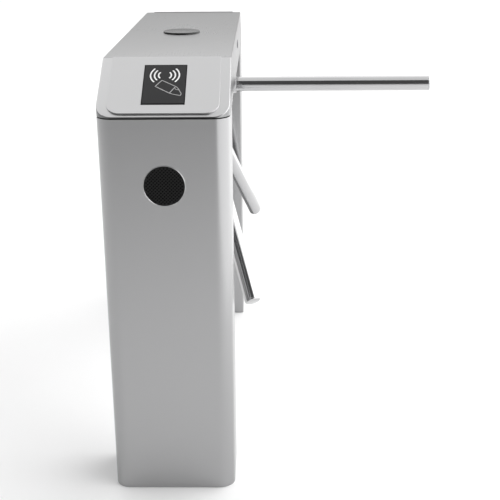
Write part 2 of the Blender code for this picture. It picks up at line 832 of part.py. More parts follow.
def make_arms(frames):
    """Three polished tubes, each with a chamfered cap welded in its end and open at its root."""
    edge, cap = 0.002, 0.005
    inner = ARM_R - ARM_WALL
    for i, frame in enumerate(frames):
        profile = [
            (0, ARM_REACH),
            (ARM_R - edge, ARM_REACH),
            (ARM_R, ARM_REACH - edge),
            (ARM_R, ARM_START),
            (inner, ARM_START),
            (inner, ARM_REACH - cap),
            (0, ARM_REACH - cap),
        ]
        turned(f"arm_{i + 1}", profile, frame, "polished_tube", sides=24)


def make_shaft():
    collar = HUB_BACK + GAP
    bearing = PLATE_D + PLATE_T + 0.003
    end = ENCODER_D + 0.011
    nose = -(HUB_CONE - HUB_NOSE_R) + 0.003
    profile = [
        (0, end),
        (SHAFT_R - 0.001, end),
        (SHAFT_R, end - 0.001),
        (SHAFT_R, bearing - GAP),
        (0.017, bearing - GAP),
        (0.017, collar),
        (SHAFT_R, collar),
        (SHAFT_R, nose),
        (0, nose),
    ]
    turned("main_shaft", profile, HEAD, "hard_steel", sides=20)


def gear_outline(teeth, at, start):
    """A spur gear's outline: trapezoid teeth with backlash, a tooth centred on start."""
    pitch_r = MODULE * teeth / 2
    tip, root = pitch_r + 0.75 * MODULE, pitch_r - 1.15 * MODULE
    points = []
    for i in range(teeth):
        middle = start + 2 * pi * i / teeth
        for radius, share in ((root, -0.31), (tip, -0.10), (tip, 0.10), (root, 0.31)):
            angle = middle + share * 2 * pi / teeth
            points.append((at[0] + radius * cos(angle), at[1] + radius * sin(angle)))
    return points


def make_gears():
    """The rotor's gear drives a centring crank, a full turn for each passage, and a damper."""
    bore = SHAFT_R + RUN
    z0, z1 = GEAR_D, GEAR_D + GEAR_T
    # the rotor gear has a tooth at each pinion, so each pinion has a space there
    gear = flat(
        "rotor_gear",
        [gear_outline(ROTOR_TEETH, (0, 0), pi / 2), circle(bore)],
        z0,
        z1,
        HEAD,
        "hard_steel",
    )
    boss = turned(
        "rotor_gear_boss",
        [
            (0.017, ENCODER_D - GAP),
            (0.017, WHEEL_D + WHEEL_T + GAP),
            (bore, WHEEL_D + WHEEL_T + GAP),
            (bore, ENCODER_D - GAP),
        ],
        HEAD,
        sides=SMALL_ROUND,
    )
    join(gear, boss)
    for name, teeth, v, shaft_r, foot, tip in (
        ("crank_gear", CRANK_TEETH, CRANK_V, 0.005, z0 + 0.002, PLATE_TOP + 0.008),
        ("damper_pinion", DAMPER_TEETH, DAMPER_V, 0.006, z0 - 0.003, PLATE_TOP + 0.014),
    ):
        towards = pi / 2 if v < 0 else -pi / 2
        space = towards + pi / teeth
        outline = gear_outline(teeth, (0, 0), space)
        wheel = flat(name, [outline], z0, z1, HEAD, "hard_steel", at=(0, v, 0))
        join(wheel, rod(name + "_axle", shaft_r, foot, tip, HEAD, at=(0, v, 0)))
        if v > 0:
            pin = (0, v + CRANK_THROW, 0)
            join(wheel, rod("crank_pin", 0.003, SPRING_D - 0.008, z0 + 0.002, HEAD, sides=12, at=pin))


def make_spring():
    """The centring spring, from the crank gear's pin to a post on the upper plate."""
    hook_r, coil_r, wire_r = 0.0046, 0.0055, 0.0008
    start, end = CRANK_V + CRANK_THROW, POST_V
    loops, per_turn = 9, 6
    points = [(x, start - y, SPRING_D) for x, y in arc((0, 0), hook_r, -0.55 * pi, 1.30 * pi, 7)]
    first, last = start + 0.012, end - 0.012
    steps = loops * per_turn
    for i in range(steps + 1):
        angle = 2 * pi * i / per_turn
        y = first + (last - first) * i / steps
        points.append((coil_r * sin(angle), y, SPRING_D + coil_r * cos(angle)))
    points += [(x, end + y, SPRING_D) for x, y in arc((0, 0), hook_r, -0.30 * pi, 1.55 * pi, 7)]
    curve = bpy.data.curves.new("centring_spring", "CURVE")
    curve.dimensions = "3D"
    curve.bevel_depth = wire_r
    curve.bevel_resolution = 1
    curve.use_fill_caps = True
    spline = curve.splines.new("POLY")
    spline.points.add(len(points) - 1)
    for point, co in zip(spline.points, points):
        point.co = (*co, 1)
    return piece("centring_spring", curve, HEAD, "hard_steel")


def make_lock_wheel():
    """The locking wheel, a square notch every thirty degrees."""
    points = []
    half = asin(NOTCH_W / 2 / WHEEL_R)
    root = WHEEL_R - NOTCH_DEEP
    for i in range(NOTCH_COUNT):
        middle = 2 * pi * i / NOTCH_COUNT
        low, high = (root * cos(asin(NOTCH_W / 2 / root)), WHEEL_R * cos(half))
        for r, s in ((high, -1), (low, -1), (low, 1), (high, 1)):
            x, y = r, s * NOTCH_W / 2
            points.append(
                (x * cos(middle) - y * sin(middle), x * sin(middle) + y * cos(middle))
            )
        land = arc((0, 0), WHEEL_R, middle + half, middle + 2 * pi / NOTCH_COUNT - half, 3)
        points += land[1:-1]
    bore = SHAFT_R + RUN
    wheel = flat(
        "lock_wheel", [points, circle(bore)], WHEEL_D, WHEEL_D + WHEEL_T, HEAD, "hard_steel"
    )
    foot = PLATE_D + PLATE_T + 0.003 + 0.031 + BEARING_W + GAP
    boss = turned(
        "lock_wheel_boss",
        [(0.0165, WHEEL_D + 0.002), (0.0165, foot), (bore, foot), (bore, WHEEL_D + 0.002)],
        HEAD,
        sides=SMALL_ROUND,
    )
    return join(wheel, boss)


def make_encoder():
    """The slotted disc that the counting sensor reads."""
    outlines = [circle(ENCODER_R, sides=24), circle(SHAFT_R + RUN)]
    for i in range(NOTCH_COUNT):
        turn = Matrix.Rotation(2 * pi * (i + 0.5) / NOTCH_COUNT, 2)
        corners = [(0.024, -0.002), (0.030, -0.002), (0.030, 0.002), (0.024, 0.002)]
        outlines.append([tuple(turn @ Vector(c)) for c in corners])
    flat("encoder_disc", outlines, ENCODER_D, ENCODER_D + 0.0015, HEAD, "black_plastic")
    sensor = box(
        "index_sensor",
        (ENCODER_R - 0.007, -0.007, PLATE_TOP + GAP),
        (ENCODER_R + 0.016, 0.007, ENCODER_D + 0.011),
        HEAD,
        "black_plastic",
    )
    slot = box(
        "sensor_slot",
        (0, -0.02, ENCODER_D - 0.0015),
        (ENCODER_R + 0.004, 0.02, ENCODER_D + 0.0035),
        HEAD,
    )
    return cut(sensor, slot)


# --- mechanism frame ----------------------------------------------------------------------
PILLARS = [(u, v) for u in (-0.072, 0.072) for v in (-0.100, 0.125)]


def make_plates():
    """The mechanism plate on four pillars, and the plate they carry with its riveted pins."""
    frame = flat(
        "mechanism_frame",
        [rounded(-0.086, 0.086, -0.115, 0.140, 0.010, steps=3), circle(0.0350, sides=24)],
        PLATE_D,
        PLATE_D + PLATE_T,
        HEAD,
        "zinc_steel",
    )
    for i, (u, v) in enumerate(PILLARS):
        pillar = rod(
            f"pillar_{i}", PILLAR_R, SHEET + GAP, TOP_PLATE_D - GAP, HEAD, sides=8, at=(u, v, 0)
        )
        join(frame, pillar)
    plate = flat(
        "upper_plate",
        [
            rounded(-0.115, 0.115, -0.115, POST_V + 0.015, 0.012, steps=3),
            circle(0.019, sides=24),
            circle(0.005 + 0.0006, (0, CRANK_V), sides=16),
            circle(0.006 + 0.0008, (0, DAMPER_V), sides=16),
        ],
        TOP_PLATE_D,
        PLATE_TOP,
        HEAD,
        "zinc_steel",
    )
    inside = TOP_PLATE_D + TOP_PLATE_T / 2
    for i, side in enumerate((-1, 1)):
        at = (side * PAWL_PIVOT[0], PAWL_PIVOT[1], 0)
        join(plate, rod(f"pawl_pin_{i}", 0.004, WHEEL_D - 0.003, inside, HEAD, sides=16, at=at))
    join(plate, rod("spring_post", 0.003, SPRING_D - 0.008, inside, HEAD, sides=12, at=(0, POST_V, 0)))


def make_bearings():
    """The housing on the mechanism plate and the two ball bearings in it."""
    foot = PLATE_D + PLATE_T + GAP
    first = PLATE_D + PLATE_T + 0.003
    second = first + 0.031
    top = second + BEARING_W + 0.001
    seat = BEARING_R + GAP
    shoulder = 0.0195
    profile = [
        (0.034, top),
        (0.034, foot + 0.006),
        (0.048, foot + 0.006),
        (0.048, foot),
        (seat, foot),
        (seat, first + BEARING_W + GAP),
        (shoulder, first + BEARING_W + GAP),
        (shoulder, second - GAP),
        (seat, second - GAP),
        (seat, top),
    ]
    turned("bearing_housing", profile, HEAD, "cast_aluminium", sides=24)
    for name, z in (("outer_bearing", first), ("inner_bearing", second)):
        ring = [
            (BEARING_R, z + BEARING_W),
            (BEARING_R, z),
            (SHAFT_R + RUN, z),
            (SHAFT_R + RUN, z + BEARING_W),
        ]
        turned(name, ring, HEAD, "hard_steel", sides=24)


def make_pawl(prefix, side):
    """A bell-crank pawl, modelled engaged about its pivot and stored swung clear."""
    u, v = side * PAWL_PIVOT[0], PAWL_PIVOT[1]
    half = PAWL_ARM / 2
    nose_half = NOTCH_W / 2 - 0.0015
    nose_tip = PAWL_PIVOT[0] - (WHEEL_R - NOTCH_DEEP + 0.0012)
    nose_v = -PAWL_PIVOT[1]
    # the nose meets the notch square, then widens where it is clear of the wheel's rim
    rim = PAWL_PIVOT[0] - WHEEL_R - 0.001
    tail = PAWL_TAIL + half
    slot_half = 0.0025
    outline = [
        (-half, -half),
        (tail, -half),
        (tail, -slot_half),
        (PAWL_TAIL - 0.004, -slot_half),
        (PAWL_TAIL - 0.004, slot_half),
        (tail, slot_half),
        (tail, half),
        (half, half),
        (half, nose_v + nose_half),
        (-rim, nose_v + nose_half),
        (-nose_tip, nose_v + nose_half - 0.0015),
        (-nose_tip, nose_v - nose_half),
        (-rim, nose_v - nose_half),
        (-half, nose_v - nose_half - 0.004),
    ]
    if side < 0:
        outline = [(-x, y) for x, y in reversed(outline)]
    hole = circle(0.004 + RUN, sides=16)
    flat(
        prefix + "_pawl",
        [outline, hole],
        WHEEL_MID - PAWL_T / 2,
        WHEEL_MID + PAWL_T / 2,
        HEAD,
        "hard_steel",
        at=(u, v, 0),
        turn=(0, 0, -side * PAWL_TURN),
    )


def make_solenoid(prefix, side):
    """A pull solenoid under the upper plate, and the plunger whose fork works the pawl."""
    u = side * (PAWL_PIVOT[0] + PAWL_TAIL)
    pin_v = PAWL_PIVOT[1] - PAWL_TAIL * sin(PAWL_TURN)
    front, back = -0.012, 0.043
    body = box(
        prefix + "_solenoid",
        (u - 0.013, front, WHEEL_MID - 0.013),
        (u + 0.013, back, TOP_PLATE_D - GAP),
        HEAD,
        "black_plastic",
    )
    along = {"at": (u, 0, WHEEL_MID), "turn": (-pi / 2, 0, 0)}
    bore = rod(prefix + "_solenoid_bore", 0.0055, front - 0.01, back - 0.006, HEAD, sides=16, **along)
    cut(body, bore)
    fork_end, fork_root = pin_v - 0.0045, pin_v + 0.0155
    ear, reach = 0.003, PAWL_T / 2 + 0.0005
    fork = box(
        prefix + "_plunger",
        (u - 0.0045, fork_end, WHEEL_MID - reach - ear),
        (u + 0.0045, fork_root, WHEEL_MID + reach + ear),
        HEAD,
        "zinc_steel",
    )
    mouth = box(
        prefix + "_fork_mouth",
        (u - 0.01, fork_end - 0.01, WHEEL_MID - reach),
        (u + 0.01, fork_root - 0.005, WHEEL_MID + reach),
        HEAD,
    )
    pin = rod(prefix + "_fork_pin", 0.002, -reach - 0.001, reach + 0.001, HEAD, sides=12, at=(u, pin_v, WHEEL_MID))
    stem = rod(prefix + "_stem", 0.005, fork_root - 0.002, back - 0.016, HEAD, sides=16, **along)
    join(cut(fork, mouth), pin, stem)


def make_damper():
    """The rotary hydraulic damper on the upper plate."""
    bore, floor = 0.006 + 0.0006, PLATE_TOP + GAP
    top = floor + 0.034
    profile = [
        (0, top),
        (0.021, top),
        (0.024, top - 0.003),
        (0.024, floor + 0.004),
        (0.030, floor + 0.004),
        (0.030, floor),
        (bore, floor),
        (bore, floor + 0.016),
        (0, floor + 0.016),
    ]
    turned("damper_body", profile, HEAD, "black_plastic", sides=20, at=(0, DAMPER_V, 0))


# --- electronics --------------------------------------------------------------------------
def make_electronics():
    """Control board and passage counter in the bridge, power supply in the front leg."""
    floor = BRIDGE_Z + SHEET + GAP
    left = -HALF_W + 0.015
    y0, y1 = 0.250, 0.400
    lift = 0.010
    carrier = box(
        "board_carrier", (left, y0, floor), (left + 0.100, y1, floor + lift), CABINET, "black_plastic"
    )
    channel = box(
        "carrier_channel",
        (left + 0.006, y0 - 0.01, floor + 0.002),
        (left + 0.094, y1 + 0.01, floor + lift + 0.01),
        CABINET,
    )
    cut(carrier, channel)
    board = floor + lift + GAP
    box("control_board", (left, y0, board), (left + 0.100, y1, board + 0.0016), CABINET, "board_green")
    counter = box(
        "passage_counter",
        (left, -0.330, floor),
        (left + 0.060, -0.270, floor + 0.045),
        CABINET,
        "black_plastic",
    )
    recess = box(
        "counter_recess",
        (left + 0.008, -0.320, floor + 0.042),
        (left + 0.052, -0.298, floor + 0.060),
        CABINET,
    )
    cut(counter, recess)
    wall_y = -HALF_L + SHEET + GAP
    box(
        "power_supply",
        (-0.055, wall_y, 0.300),
        (0.055, wall_y + 0.040, 0.460),
        CABINET,
        "zinc_steel",
    )


# --- build --------------------------------------------------------------------------------
clear_scene()
PARTS = new_collection("tripod_turnstile")
CUTTERS = new_collection("cutters", hidden=True)
FINISH = make_finishes()

CABINET = empty("turnstile", at=(CABINET_X, 0, 0))
HEAD = empty("head_frame", CABINET, at=(AXIS_X, 0, AXIS_Z), turn=(0, -TILT, 0))
LOCK_FRAME = empty(
    "lock_frame", CABINET, at=(HALF_W, LOCK_Y, LID_Z + LID_H * 0.59), turn=(pi / 2, 0, pi / 2)
)
SLOPES = {}
for slope_name, slope_side in (("front", -1), ("rear", 1)):
    swivel = empty(slope_name + "_end", CABINET, turn=(0, 0, 0 if slope_side < 0 else pi))
    SLOPES[slope_name] = empty(
        slope_name + "_slope", swivel, at=(0, -HALF_L, LID_Z + LID_LIP), turn=(SLOPE, 0, 0)
    )

for leg_name, leg_side in (("front", -1), ("rear", 1)):
    leg_frame = make_leg(leg_name, leg_side)
    make_base_plate(leg_name, leg_frame)
    make_end_indicator(leg_name, leg_frame)
    make_door(leg_name, leg_frame, -leg_side)
make_bridge()
make_lid()
for panel_name, panel_frame in SLOPES.items():
    make_reader_panel(panel_name, panel_frame)
make_top_indicator()
LID_AXIS = make_lid_hinge()
make_lid_lock()
make_lid_catch()
make_rest_strip()
hang(
    LID_AXIS,
    "lid_shell",
    "front_reader_plate",
    "rear_reader_plate",
    "front_reader_window",
    "rear_reader_window",
    "front_card_reader",
    "rear_card_reader",
    "top_indicator_lens",
    "top_indicator_housing",
    "lid_hinge_leaf",
    "lid_lock_barrel",
    "lid_lock_plug",
)

ARM_FRAMES = arm_frames()
make_hub(ARM_FRAMES)
make_arms(ARM_FRAMES)
make_shaft()
make_lock_wheel()
make_gears()
make_encoder()
make_bearings()
make_plates()
make_spring()
for pawl_name, pawl_side in (("upper", 1), ("lower", -1)):
    make_pawl(pawl_name, pawl_side)
    make_solenoid(pawl_name, pawl_side)
make_damper()
make_electronics()
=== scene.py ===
# %% [markdown]
# # A tripod turnstile that counts visitors
#
# The machine is a stainless cabinet that stands beside a lane. Its rotor has three tubes, and one
# of them always lies across the lane. In this lesson each piece is made around a finished frame
# that already knows where everything is and what turns with what.

# %% Load the frame
import json
from math import atan2, cos, hypot, pi, radians, sin

import bmesh
import bpy
from mathutils import Matrix, Vector


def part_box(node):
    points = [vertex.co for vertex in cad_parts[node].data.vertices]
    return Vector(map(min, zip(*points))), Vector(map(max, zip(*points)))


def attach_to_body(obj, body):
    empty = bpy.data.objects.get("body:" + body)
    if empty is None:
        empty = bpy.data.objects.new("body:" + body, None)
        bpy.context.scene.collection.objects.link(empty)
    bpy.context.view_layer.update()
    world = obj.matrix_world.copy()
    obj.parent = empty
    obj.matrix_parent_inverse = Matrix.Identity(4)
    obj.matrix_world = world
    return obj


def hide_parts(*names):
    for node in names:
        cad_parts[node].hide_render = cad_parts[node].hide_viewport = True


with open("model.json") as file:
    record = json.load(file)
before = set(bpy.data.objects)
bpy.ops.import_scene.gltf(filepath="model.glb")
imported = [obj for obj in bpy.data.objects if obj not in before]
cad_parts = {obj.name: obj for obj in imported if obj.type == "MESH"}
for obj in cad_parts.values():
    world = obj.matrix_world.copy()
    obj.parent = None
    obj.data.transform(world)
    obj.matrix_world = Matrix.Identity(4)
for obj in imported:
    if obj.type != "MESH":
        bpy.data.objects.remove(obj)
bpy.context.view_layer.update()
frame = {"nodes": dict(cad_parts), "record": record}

# %% [markdown]
# ## Places that everything else is measured from
#
# Sizes are read from the frame's boxes where they can be. The rotor's own axes are the most
# useful ones inside the cabinet: Z runs in from the slanted face along the shaft, Y runs along
# the cabinet, and X runs up the slanted face.

# %% Measure the frame
def box_of(node):
    low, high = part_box(node)
    return Vector(low), Vector(high)


lid_low, lid_high = box_of("lid_shell")
MIDDLE_X = (lid_low.x + lid_high.x) / 2
HALF_WIDTH = (lid_high.x - lid_low.x) / 2
HALF_LENGTH = (lid_high.y - lid_low.y) / 2
SHEET, CORNER, CORNER_STEPS = 0.002, 0.035, 18
LIP, SLOPE_RUN = 0.002, 0.161
SLOPE_RISE = lid_high.z - lid_low.z - LIP
SLOPE = atan2(SLOPE_RISE, SLOPE_RUN)
SLOPE_LENGTH = hypot(SLOPE_RISE, SLOPE_RUN)

joints = {joint["name"]: joint for joint in frame["record"]["behaviour"]["joints"]}
shaft_point = Vector(joints["rotor_spin"]["pos_m"])
outward = Vector(joints["rotor_spin"]["axis"]).normalized()
along = Vector((0, 1, 0))
inward = -outward
head_axes = Matrix((along.cross(inward), along, inward)).transposed()
HEAD = Matrix.Translation(shaft_point) @ head_axes.to_4x4()


def slope_frame(side):
    """Z out of the sloping panel, Y up it, the origin at the middle of its foot."""
    facing = Matrix.Rotation(0 if side < 0 else pi, 4, "Z")
    foot = Matrix.Translation((0, -HALF_LENGTH, lid_low.z + LIP))
    return Matrix.Translation((MIDDLE_X, 0, 0)) @ facing @ foot @ Matrix.Rotation(SLOPE, 4, "X")


ENDS = {"front": -1, "rear": 1}
print("slope", round(SLOPE / pi * 180, 1), "degrees, shaft at", [round(c, 3) for c in shaft_point])

# %% [markdown]
# ## Grain, shared by every metal
#
# Brushed sheet has fine streaks that run one way, and larger soft marks from handling. Both are
# noise, one of them stretched. They live in one node group, and each metal decides how long its
# streaks are and how strongly they show. The group gives masks only. The shader stays in the
# material, where the constants can be read.

# %% Node helpers
def add_node(tree, kind, **values):
    node = tree.nodes.new(kind)
    for name, value in values.items():
        if hasattr(node, name):
            setattr(node, name, value)
        else:
            node.inputs[name.replace("_", " ")].default_value = value
    return node


def new_group(name, inputs, outputs):
    tree = bpy.data.node_groups.new(name, "ShaderNodeTree")
    for label, kind, value in inputs:
        socket = tree.interface.new_socket(label, in_out="INPUT", socket_type=kind)
        socket.default_value = value
    for label, kind in outputs:
        tree.interface.new_socket(label, in_out="OUTPUT", socket_type=kind)
    return tree, tree.nodes.new("NodeGroupInput"), tree.nodes.new("NodeGroupOutput")


# %% The grain group
GRAIN, grain_in, grain_out = new_group(
    "metal grain",
    [
        ("Vector", "NodeSocketVector", (0, 0, 0)),
        ("Stretch", "NodeSocketVector", (1, 1, 1)),
        ("Smudge Scale", "NodeSocketFloat", 6.0),
    ],
    [("Streaks", "NodeSocketFloat"), ("Smudges", "NodeSocketFloat")],
)
pulled = GRAIN.nodes.new("ShaderNodeVectorMath")
pulled.operation = "MULTIPLY"
GRAIN.links.new(grain_in.outputs["Vector"], pulled.inputs[0])
GRAIN.links.new(grain_in.outputs["Stretch"], pulled.inputs[1])
streaks = add_node(GRAIN, "ShaderNodeTexNoise", Scale=1.0, Detail=3.0, Roughness=0.6)
GRAIN.links.new(pulled.outputs[0], streaks.inputs["Vector"])
smudges = add_node(GRAIN, "ShaderNodeTexNoise", Detail=4.0, Roughness=0.55, Distortion=0.6)
GRAIN.links.new(grain_in.outputs["Vector"], smudges.inputs["Vector"])
GRAIN.links.new(grain_in.outputs["Smudge Scale"], smudges.inputs["Scale"])
GRAIN.links.new(streaks.outputs["Fac"], grain_out.inputs["Streaks"])
GRAIN.links.new(smudges.outputs["Fac"], grain_out.inputs["Smudges"])
print("group:", GRAIN.name, [socket.name for socket in GRAIN.interface.items_tree])

# %% [markdown]
# ## Finishes
#
# Every finish is a Principled shader with its colour and roughness moved a little by the grain
# group, and a very shallow bump. A polished tube has short faint streaks and a low roughness, a
# blasted casting has none and a high one, so one function covers them all.

# %% A finish from a few numbers
FINISH = {}


def new_finish(name, colour, rough, metallic=1.0, stretch=(300, 300, 300), bump=0.02,
               smudge=6.0, spread=0.06, shade=0.06, gloss=0.5):
    """rough is the mean roughness, spread how far the grain moves it, shade the same for colour."""
    material = bpy.data.materials.new(name)
    material.use_nodes = True
    tree = material.node_tree
    shader = tree.nodes["Principled BSDF"]
    shader.inputs["Metallic"].default_value = metallic
    shader.inputs["Specular IOR Level"].default_value = gloss
    place = tree.nodes.new("ShaderNodeTexCoord")
    grain = tree.nodes.new("ShaderNodeGroup")
    grain.node_tree = GRAIN
    grain.inputs["Stretch"].default_value = stretch
    grain.inputs["Smudge Scale"].default_value = smudge
    tree.links.new(place.outputs["Object"], grain.inputs["Vector"])

    mixed = add_node(tree, "ShaderNodeMath", operation="ADD")
    tree.links.new(grain.outputs["Streaks"], mixed.inputs[0])
    tree.links.new(grain.outputs["Smudges"], mixed.inputs[1])
    rough_range = add_node(tree, "ShaderNodeMapRange", From_Min=0.6, From_Max=1.4)
    rough_range.inputs["To Min"].default_value = max(rough - spread, 0.02)
    rough_range.inputs["To Max"].default_value = rough + spread
    tree.links.new(mixed.outputs[0], rough_range.inputs["Value"])
    tree.links.new(rough_range.outputs["Result"], shader.inputs["Roughness"])

    tone = tree.nodes.new("ShaderNodeMix")
    tone.data_type = "RGBA"
    tone.inputs["A"].default_value = (*[c * (1 - shade) for c in colour], 1)
    tone.inputs["B"].default_value = (*[min(c * (1 + shade), 1) for c in colour], 1)
    tree.links.new(grain.outputs["Smudges"], tone.inputs["Factor"])
    tree.links.new(tone.outputs["Result"], shader.inputs["Base Color"])

    relief = add_node(tree, "ShaderNodeBump", Strength=bump, Distance=0.0004)
    tree.links.new(grain.outputs["Streaks"], relief.inputs["Height"])
    tree.links.new(relief.outputs["Normal"], shader.inputs["Normal"])
    FINISH[name] = material


# %% The metals
UPRIGHT = (900, 900, 9)
LENGTHWISE = (900, 9, 900)
CROSSWISE = (9, 900, 900)
new_finish("leg steel", (0.385, 0.385, 0.389), 0.26, stretch=UPRIGHT, bump=0.010,
           spread=0.012, shade=0.012, smudge=3)
new_finish("lid steel", (0.250, 0.250, 0.253), 0.28, stretch=LENGTHWISE,
           bump=0.010, spread=0.012, shade=0.012, smudge=3)
new_finish("plate steel and painted slope light", (0.530, 0.530, 0.534), 0.31, stretch=CROSSWISE,
           bump=0.010, spread=0.012, shade=0.012)
new_finish("mirror steel", (0.360, 0.360, 0.364), 0.14, spread=0.04, bump=0.01)
new_finish("polished tube", (0.510, 0.510, 0.515), 0.09, stretch=(700, 700, 700),
           spread=0.04, bump=0.01)
new_finish("cast hub", (0.480, 0.480, 0.485), 0.34, stretch=(500, 500, 500),
           bump=0.10)
new_finish("zinc plate", (0.46, 0.46, 0.43), 0.36, stretch=(250, 250, 250),
           bump=0.06, shade=0.14, smudge=22)
new_finish("oiled steel and painted dark reflection", (0.20, 0.20, 0.21), 0.34, stretch=(400, 400, 400),
           bump=0.05)
new_finish("ground steel", (0.44, 0.44, 0.45), 0.20, stretch=(400, 400, 400),
           bump=0.03)
new_finish("turned brass", (0.58, 0.42, 0.18), 0.26, stretch=(500, 500, 500), bump=0.03)

# %% [markdown]
# Plastics and rubber use the same function with no metallic value. A moulded housing has a fine
# all-round texture, so its grain isn't stretched and its bump is deeper.

# %% The plastics
new_finish("black housing", (0.030, 0.030, 0.032), 0.48, metallic=0.0,
           stretch=(900, 900, 900), bump=0.18, shade=0.20)
new_finish("grey housing", (0.16, 0.165, 0.17), 0.45, metallic=0.0,
           stretch=(900, 900, 900), bump=0.15)
new_finish("window face", (0.020, 0.020, 0.021), 0.20, metallic=0.0,
           stretch=(60, 60, 60), bump=0.0, spread=0.03, gloss=0.22)
new_finish("window sides and painted shade border", (0.001, 0.001, 0.001), 0.30, metallic=0.0, bump=0.0,
           spread=0.03, gloss=0.05)
new_finish("led mask", (0.013, 0.013, 0.013), 0.40, metallic=0.0,
           stretch=(900, 900, 900), bump=0.06, gloss=0.12)
new_finish("led dot", (0.001, 0.001, 0.001), 0.30, metallic=0.0, bump=0.0,
           spread=0.03, gloss=0.02)
new_finish("smoked lens", (0.060, 0.060, 0.061), 0.22, metallic=0.0, bump=0.01,
           spread=0.04, gloss=0.14)
new_finish("lens side", (0.010, 0.010, 0.010), 0.30, metallic=0.0, bump=0.0,
           spread=0.04, gloss=0.3)
new_finish("printed white", (0.86, 0.86, 0.86), 0.45, metallic=0.0, bump=0.0,
           shade=0.02)
new_finish("printed grey", (0.42, 0.42, 0.42), 0.45, metallic=0.0, bump=0.0,
           shade=0.02)
new_finish("rubber", (0.022, 0.022, 0.022), 0.72, metallic=0.0, bump=0.2)
new_finish("circuit board", (0.012, 0.110, 0.045), 0.34, metallic=0.0,
           stretch=(220, 220, 220), bump=0.05, shade=0.25, smudge=60)
new_finish("relay blue", (0.030, 0.075, 0.160), 0.38, metallic=0.0,
           stretch=(500, 500, 500), bump=0.05)
new_finish("terminal green", (0.040, 0.200, 0.085), 0.42, metallic=0.0,
           stretch=(500, 500, 500), bump=0.05)
print("finishes:", len(FINISH))

# %% [markdown]
# ## From a bmesh to a piece
#
# A bmesh is a workbench. When the shape is right it becomes a mesh, and the mesh becomes an
# object that rides on one body of the frame. Faces that meet at a shallow angle are shaded
# smooth, so a rounded corner shows no facets while a fold stays crisp.

# %% Make, shade and attach
def shaded(mesh, sharp=32):
    mesh.shade_smooth()
    mesh.set_sharp_from_angle(angle=radians(sharp))
    return mesh


def as_object(name, bm, sharp=32):
    bmesh.ops.recalc_face_normals(bm, faces=bm.faces)
    mesh = bpy.data.meshes.new(name)
    bm.to_mesh(mesh)
    bm.free()
    obj = bpy.data.objects.new(name, shaded(mesh, sharp))
    bpy.context.scene.collection.objects.link(obj)
    return obj


def attach(obj, body, finish, *nodes):
    """The piece gets its finish and its body, and stands for the CAD solids that are named."""
    if not obj.data.materials:
        obj.data.materials.append(FINISH[finish])
    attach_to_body(obj, body)
    if nodes:
        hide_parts(*nodes)
    print(f"{obj.name}: {len(obj.data.polygons)} faces on {body}")
    return obj


# %% [markdown]
# Holes and fused forms come from Boolean modifiers that are worked out at once. The result
# replaces the mesh, and the tool is thrown away, so that nothing hidden is left in the scene.

# %% Carve, fuse and soften
def settle(obj, sharp=32):
    """Bakes the object's modifiers into its mesh."""
    bpy.context.view_layer.update()
    graph = bpy.context.evaluated_depsgraph_get()
    mesh = bpy.data.meshes.new_from_object(obj.evaluated_get(graph))
    obj.modifiers.clear()
    obj.data = shaded(mesh, sharp)
    return obj


def combine(obj, operation, *others):
    for other in others:
        step = obj.modifiers.new("combine", "BOOLEAN")
        step.operation = operation
        step.solver = "EXACT"
        step.object = other
    settle(obj)
    for other in others:
        bpy.data.objects.remove(other)
    return obj


def soften(obj, width, segments=2, angle=35):
    """A small bevel on every edge that is sharper than the angle, with its normals kept flat."""
    step = obj.modifiers.new("soft edges", "BEVEL")
    step.width = width
    step.segments = segments
    step.limit_method = "ANGLE"
    step.angle_limit = radians(angle)
    step.harden_normals = True
    return obj


# %% Shapes from operators
def block(low, high):
    """A bmesh box between two corners."""
    low, high = Vector(low), Vector(high)
    bm = bmesh.new()
    scale = Matrix.Diagonal((*(high - low), 1))
    bmesh.ops.create_cube(bm, size=1, matrix=Matrix.Translation((low + high) / 2) @ scale)
    return bm


def turned(profile, steps=64):
    """Spins a profile of (radius, z) about Z. Ends on the axis close it, and so does a loop."""
    bm = bmesh.new()
    line = [bm.verts.new((radius, 0, z)) for radius, z in profile]
    edges = [bm.edges.new(pair) for pair in zip(line, line[1:])]
    if profile[0][0] > 0 and profile[-1][0] > 0:
        edges.append(bm.edges.new((line[-1], line[0])))
    bmesh.ops.spin(bm, geom=line + edges, cent=(0, 0, 0), axis=(0, 0, 1), angle=2 * pi,
                   steps=steps, use_merge=True)
    bmesh.ops.remove_doubles(bm, verts=bm.verts, dist=1e-6)
    bmesh.ops.recalc_face_normals(bm, faces=bm.faces)
    return bm


def rod(radius, z0, z1, at=(0, 0), sides=32):
    bm = bmesh.new()
    bmesh.ops.create_cone(bm, cap_ends=True, segments=sides, radius1=radius, radius2=radius,
                          depth=z1 - z0, matrix=Matrix.Translation((*at, (z0 + z1) / 2)))
    return bm


def moved(bm, matrix):
    bmesh.ops.transform(bm, matrix=matrix, verts=bm.verts)
    return bm


def pour(bm, into):
    """Adds one bmesh to another, and frees it."""
    parcel = bpy.data.meshes.new("parcel")
    bm.to_mesh(parcel)
    bm.free()
    into.from_mesh(parcel)
    bpy.data.meshes.remove(parcel)


def add_box(into, low, size, frame_of=Matrix.Identity(4)):
    """A box of that size whose lowest corner stands at the place."""
    middle = frame_of @ Matrix.Translation(Vector(low) + Vector(size) / 2)
    bmesh.ops.create_cube(into, size=1, matrix=middle @ Matrix.Diagonal((*size, 1)))


def bevelled(bm, edges, width, segments):
    bmesh.ops.bevel(bm, geom=list(edges), offset=width, offset_type="OFFSET", segments=segments,
                    profile=0.5, affect="EDGES", clamp_overlap=True, material=-1)
    return bm


def upright_edges(bm, test):
    """Edges along Z whose middle passes the test."""
    found = []
    for edge in bm.edges:
        a, b = (vert.co for vert in edge.verts)
        if abs(a.x - b.x) < 1e-5 and abs(a.y - b.y) < 1e-5 and test((a + b) / 2):
            found.append(edge)
    return found


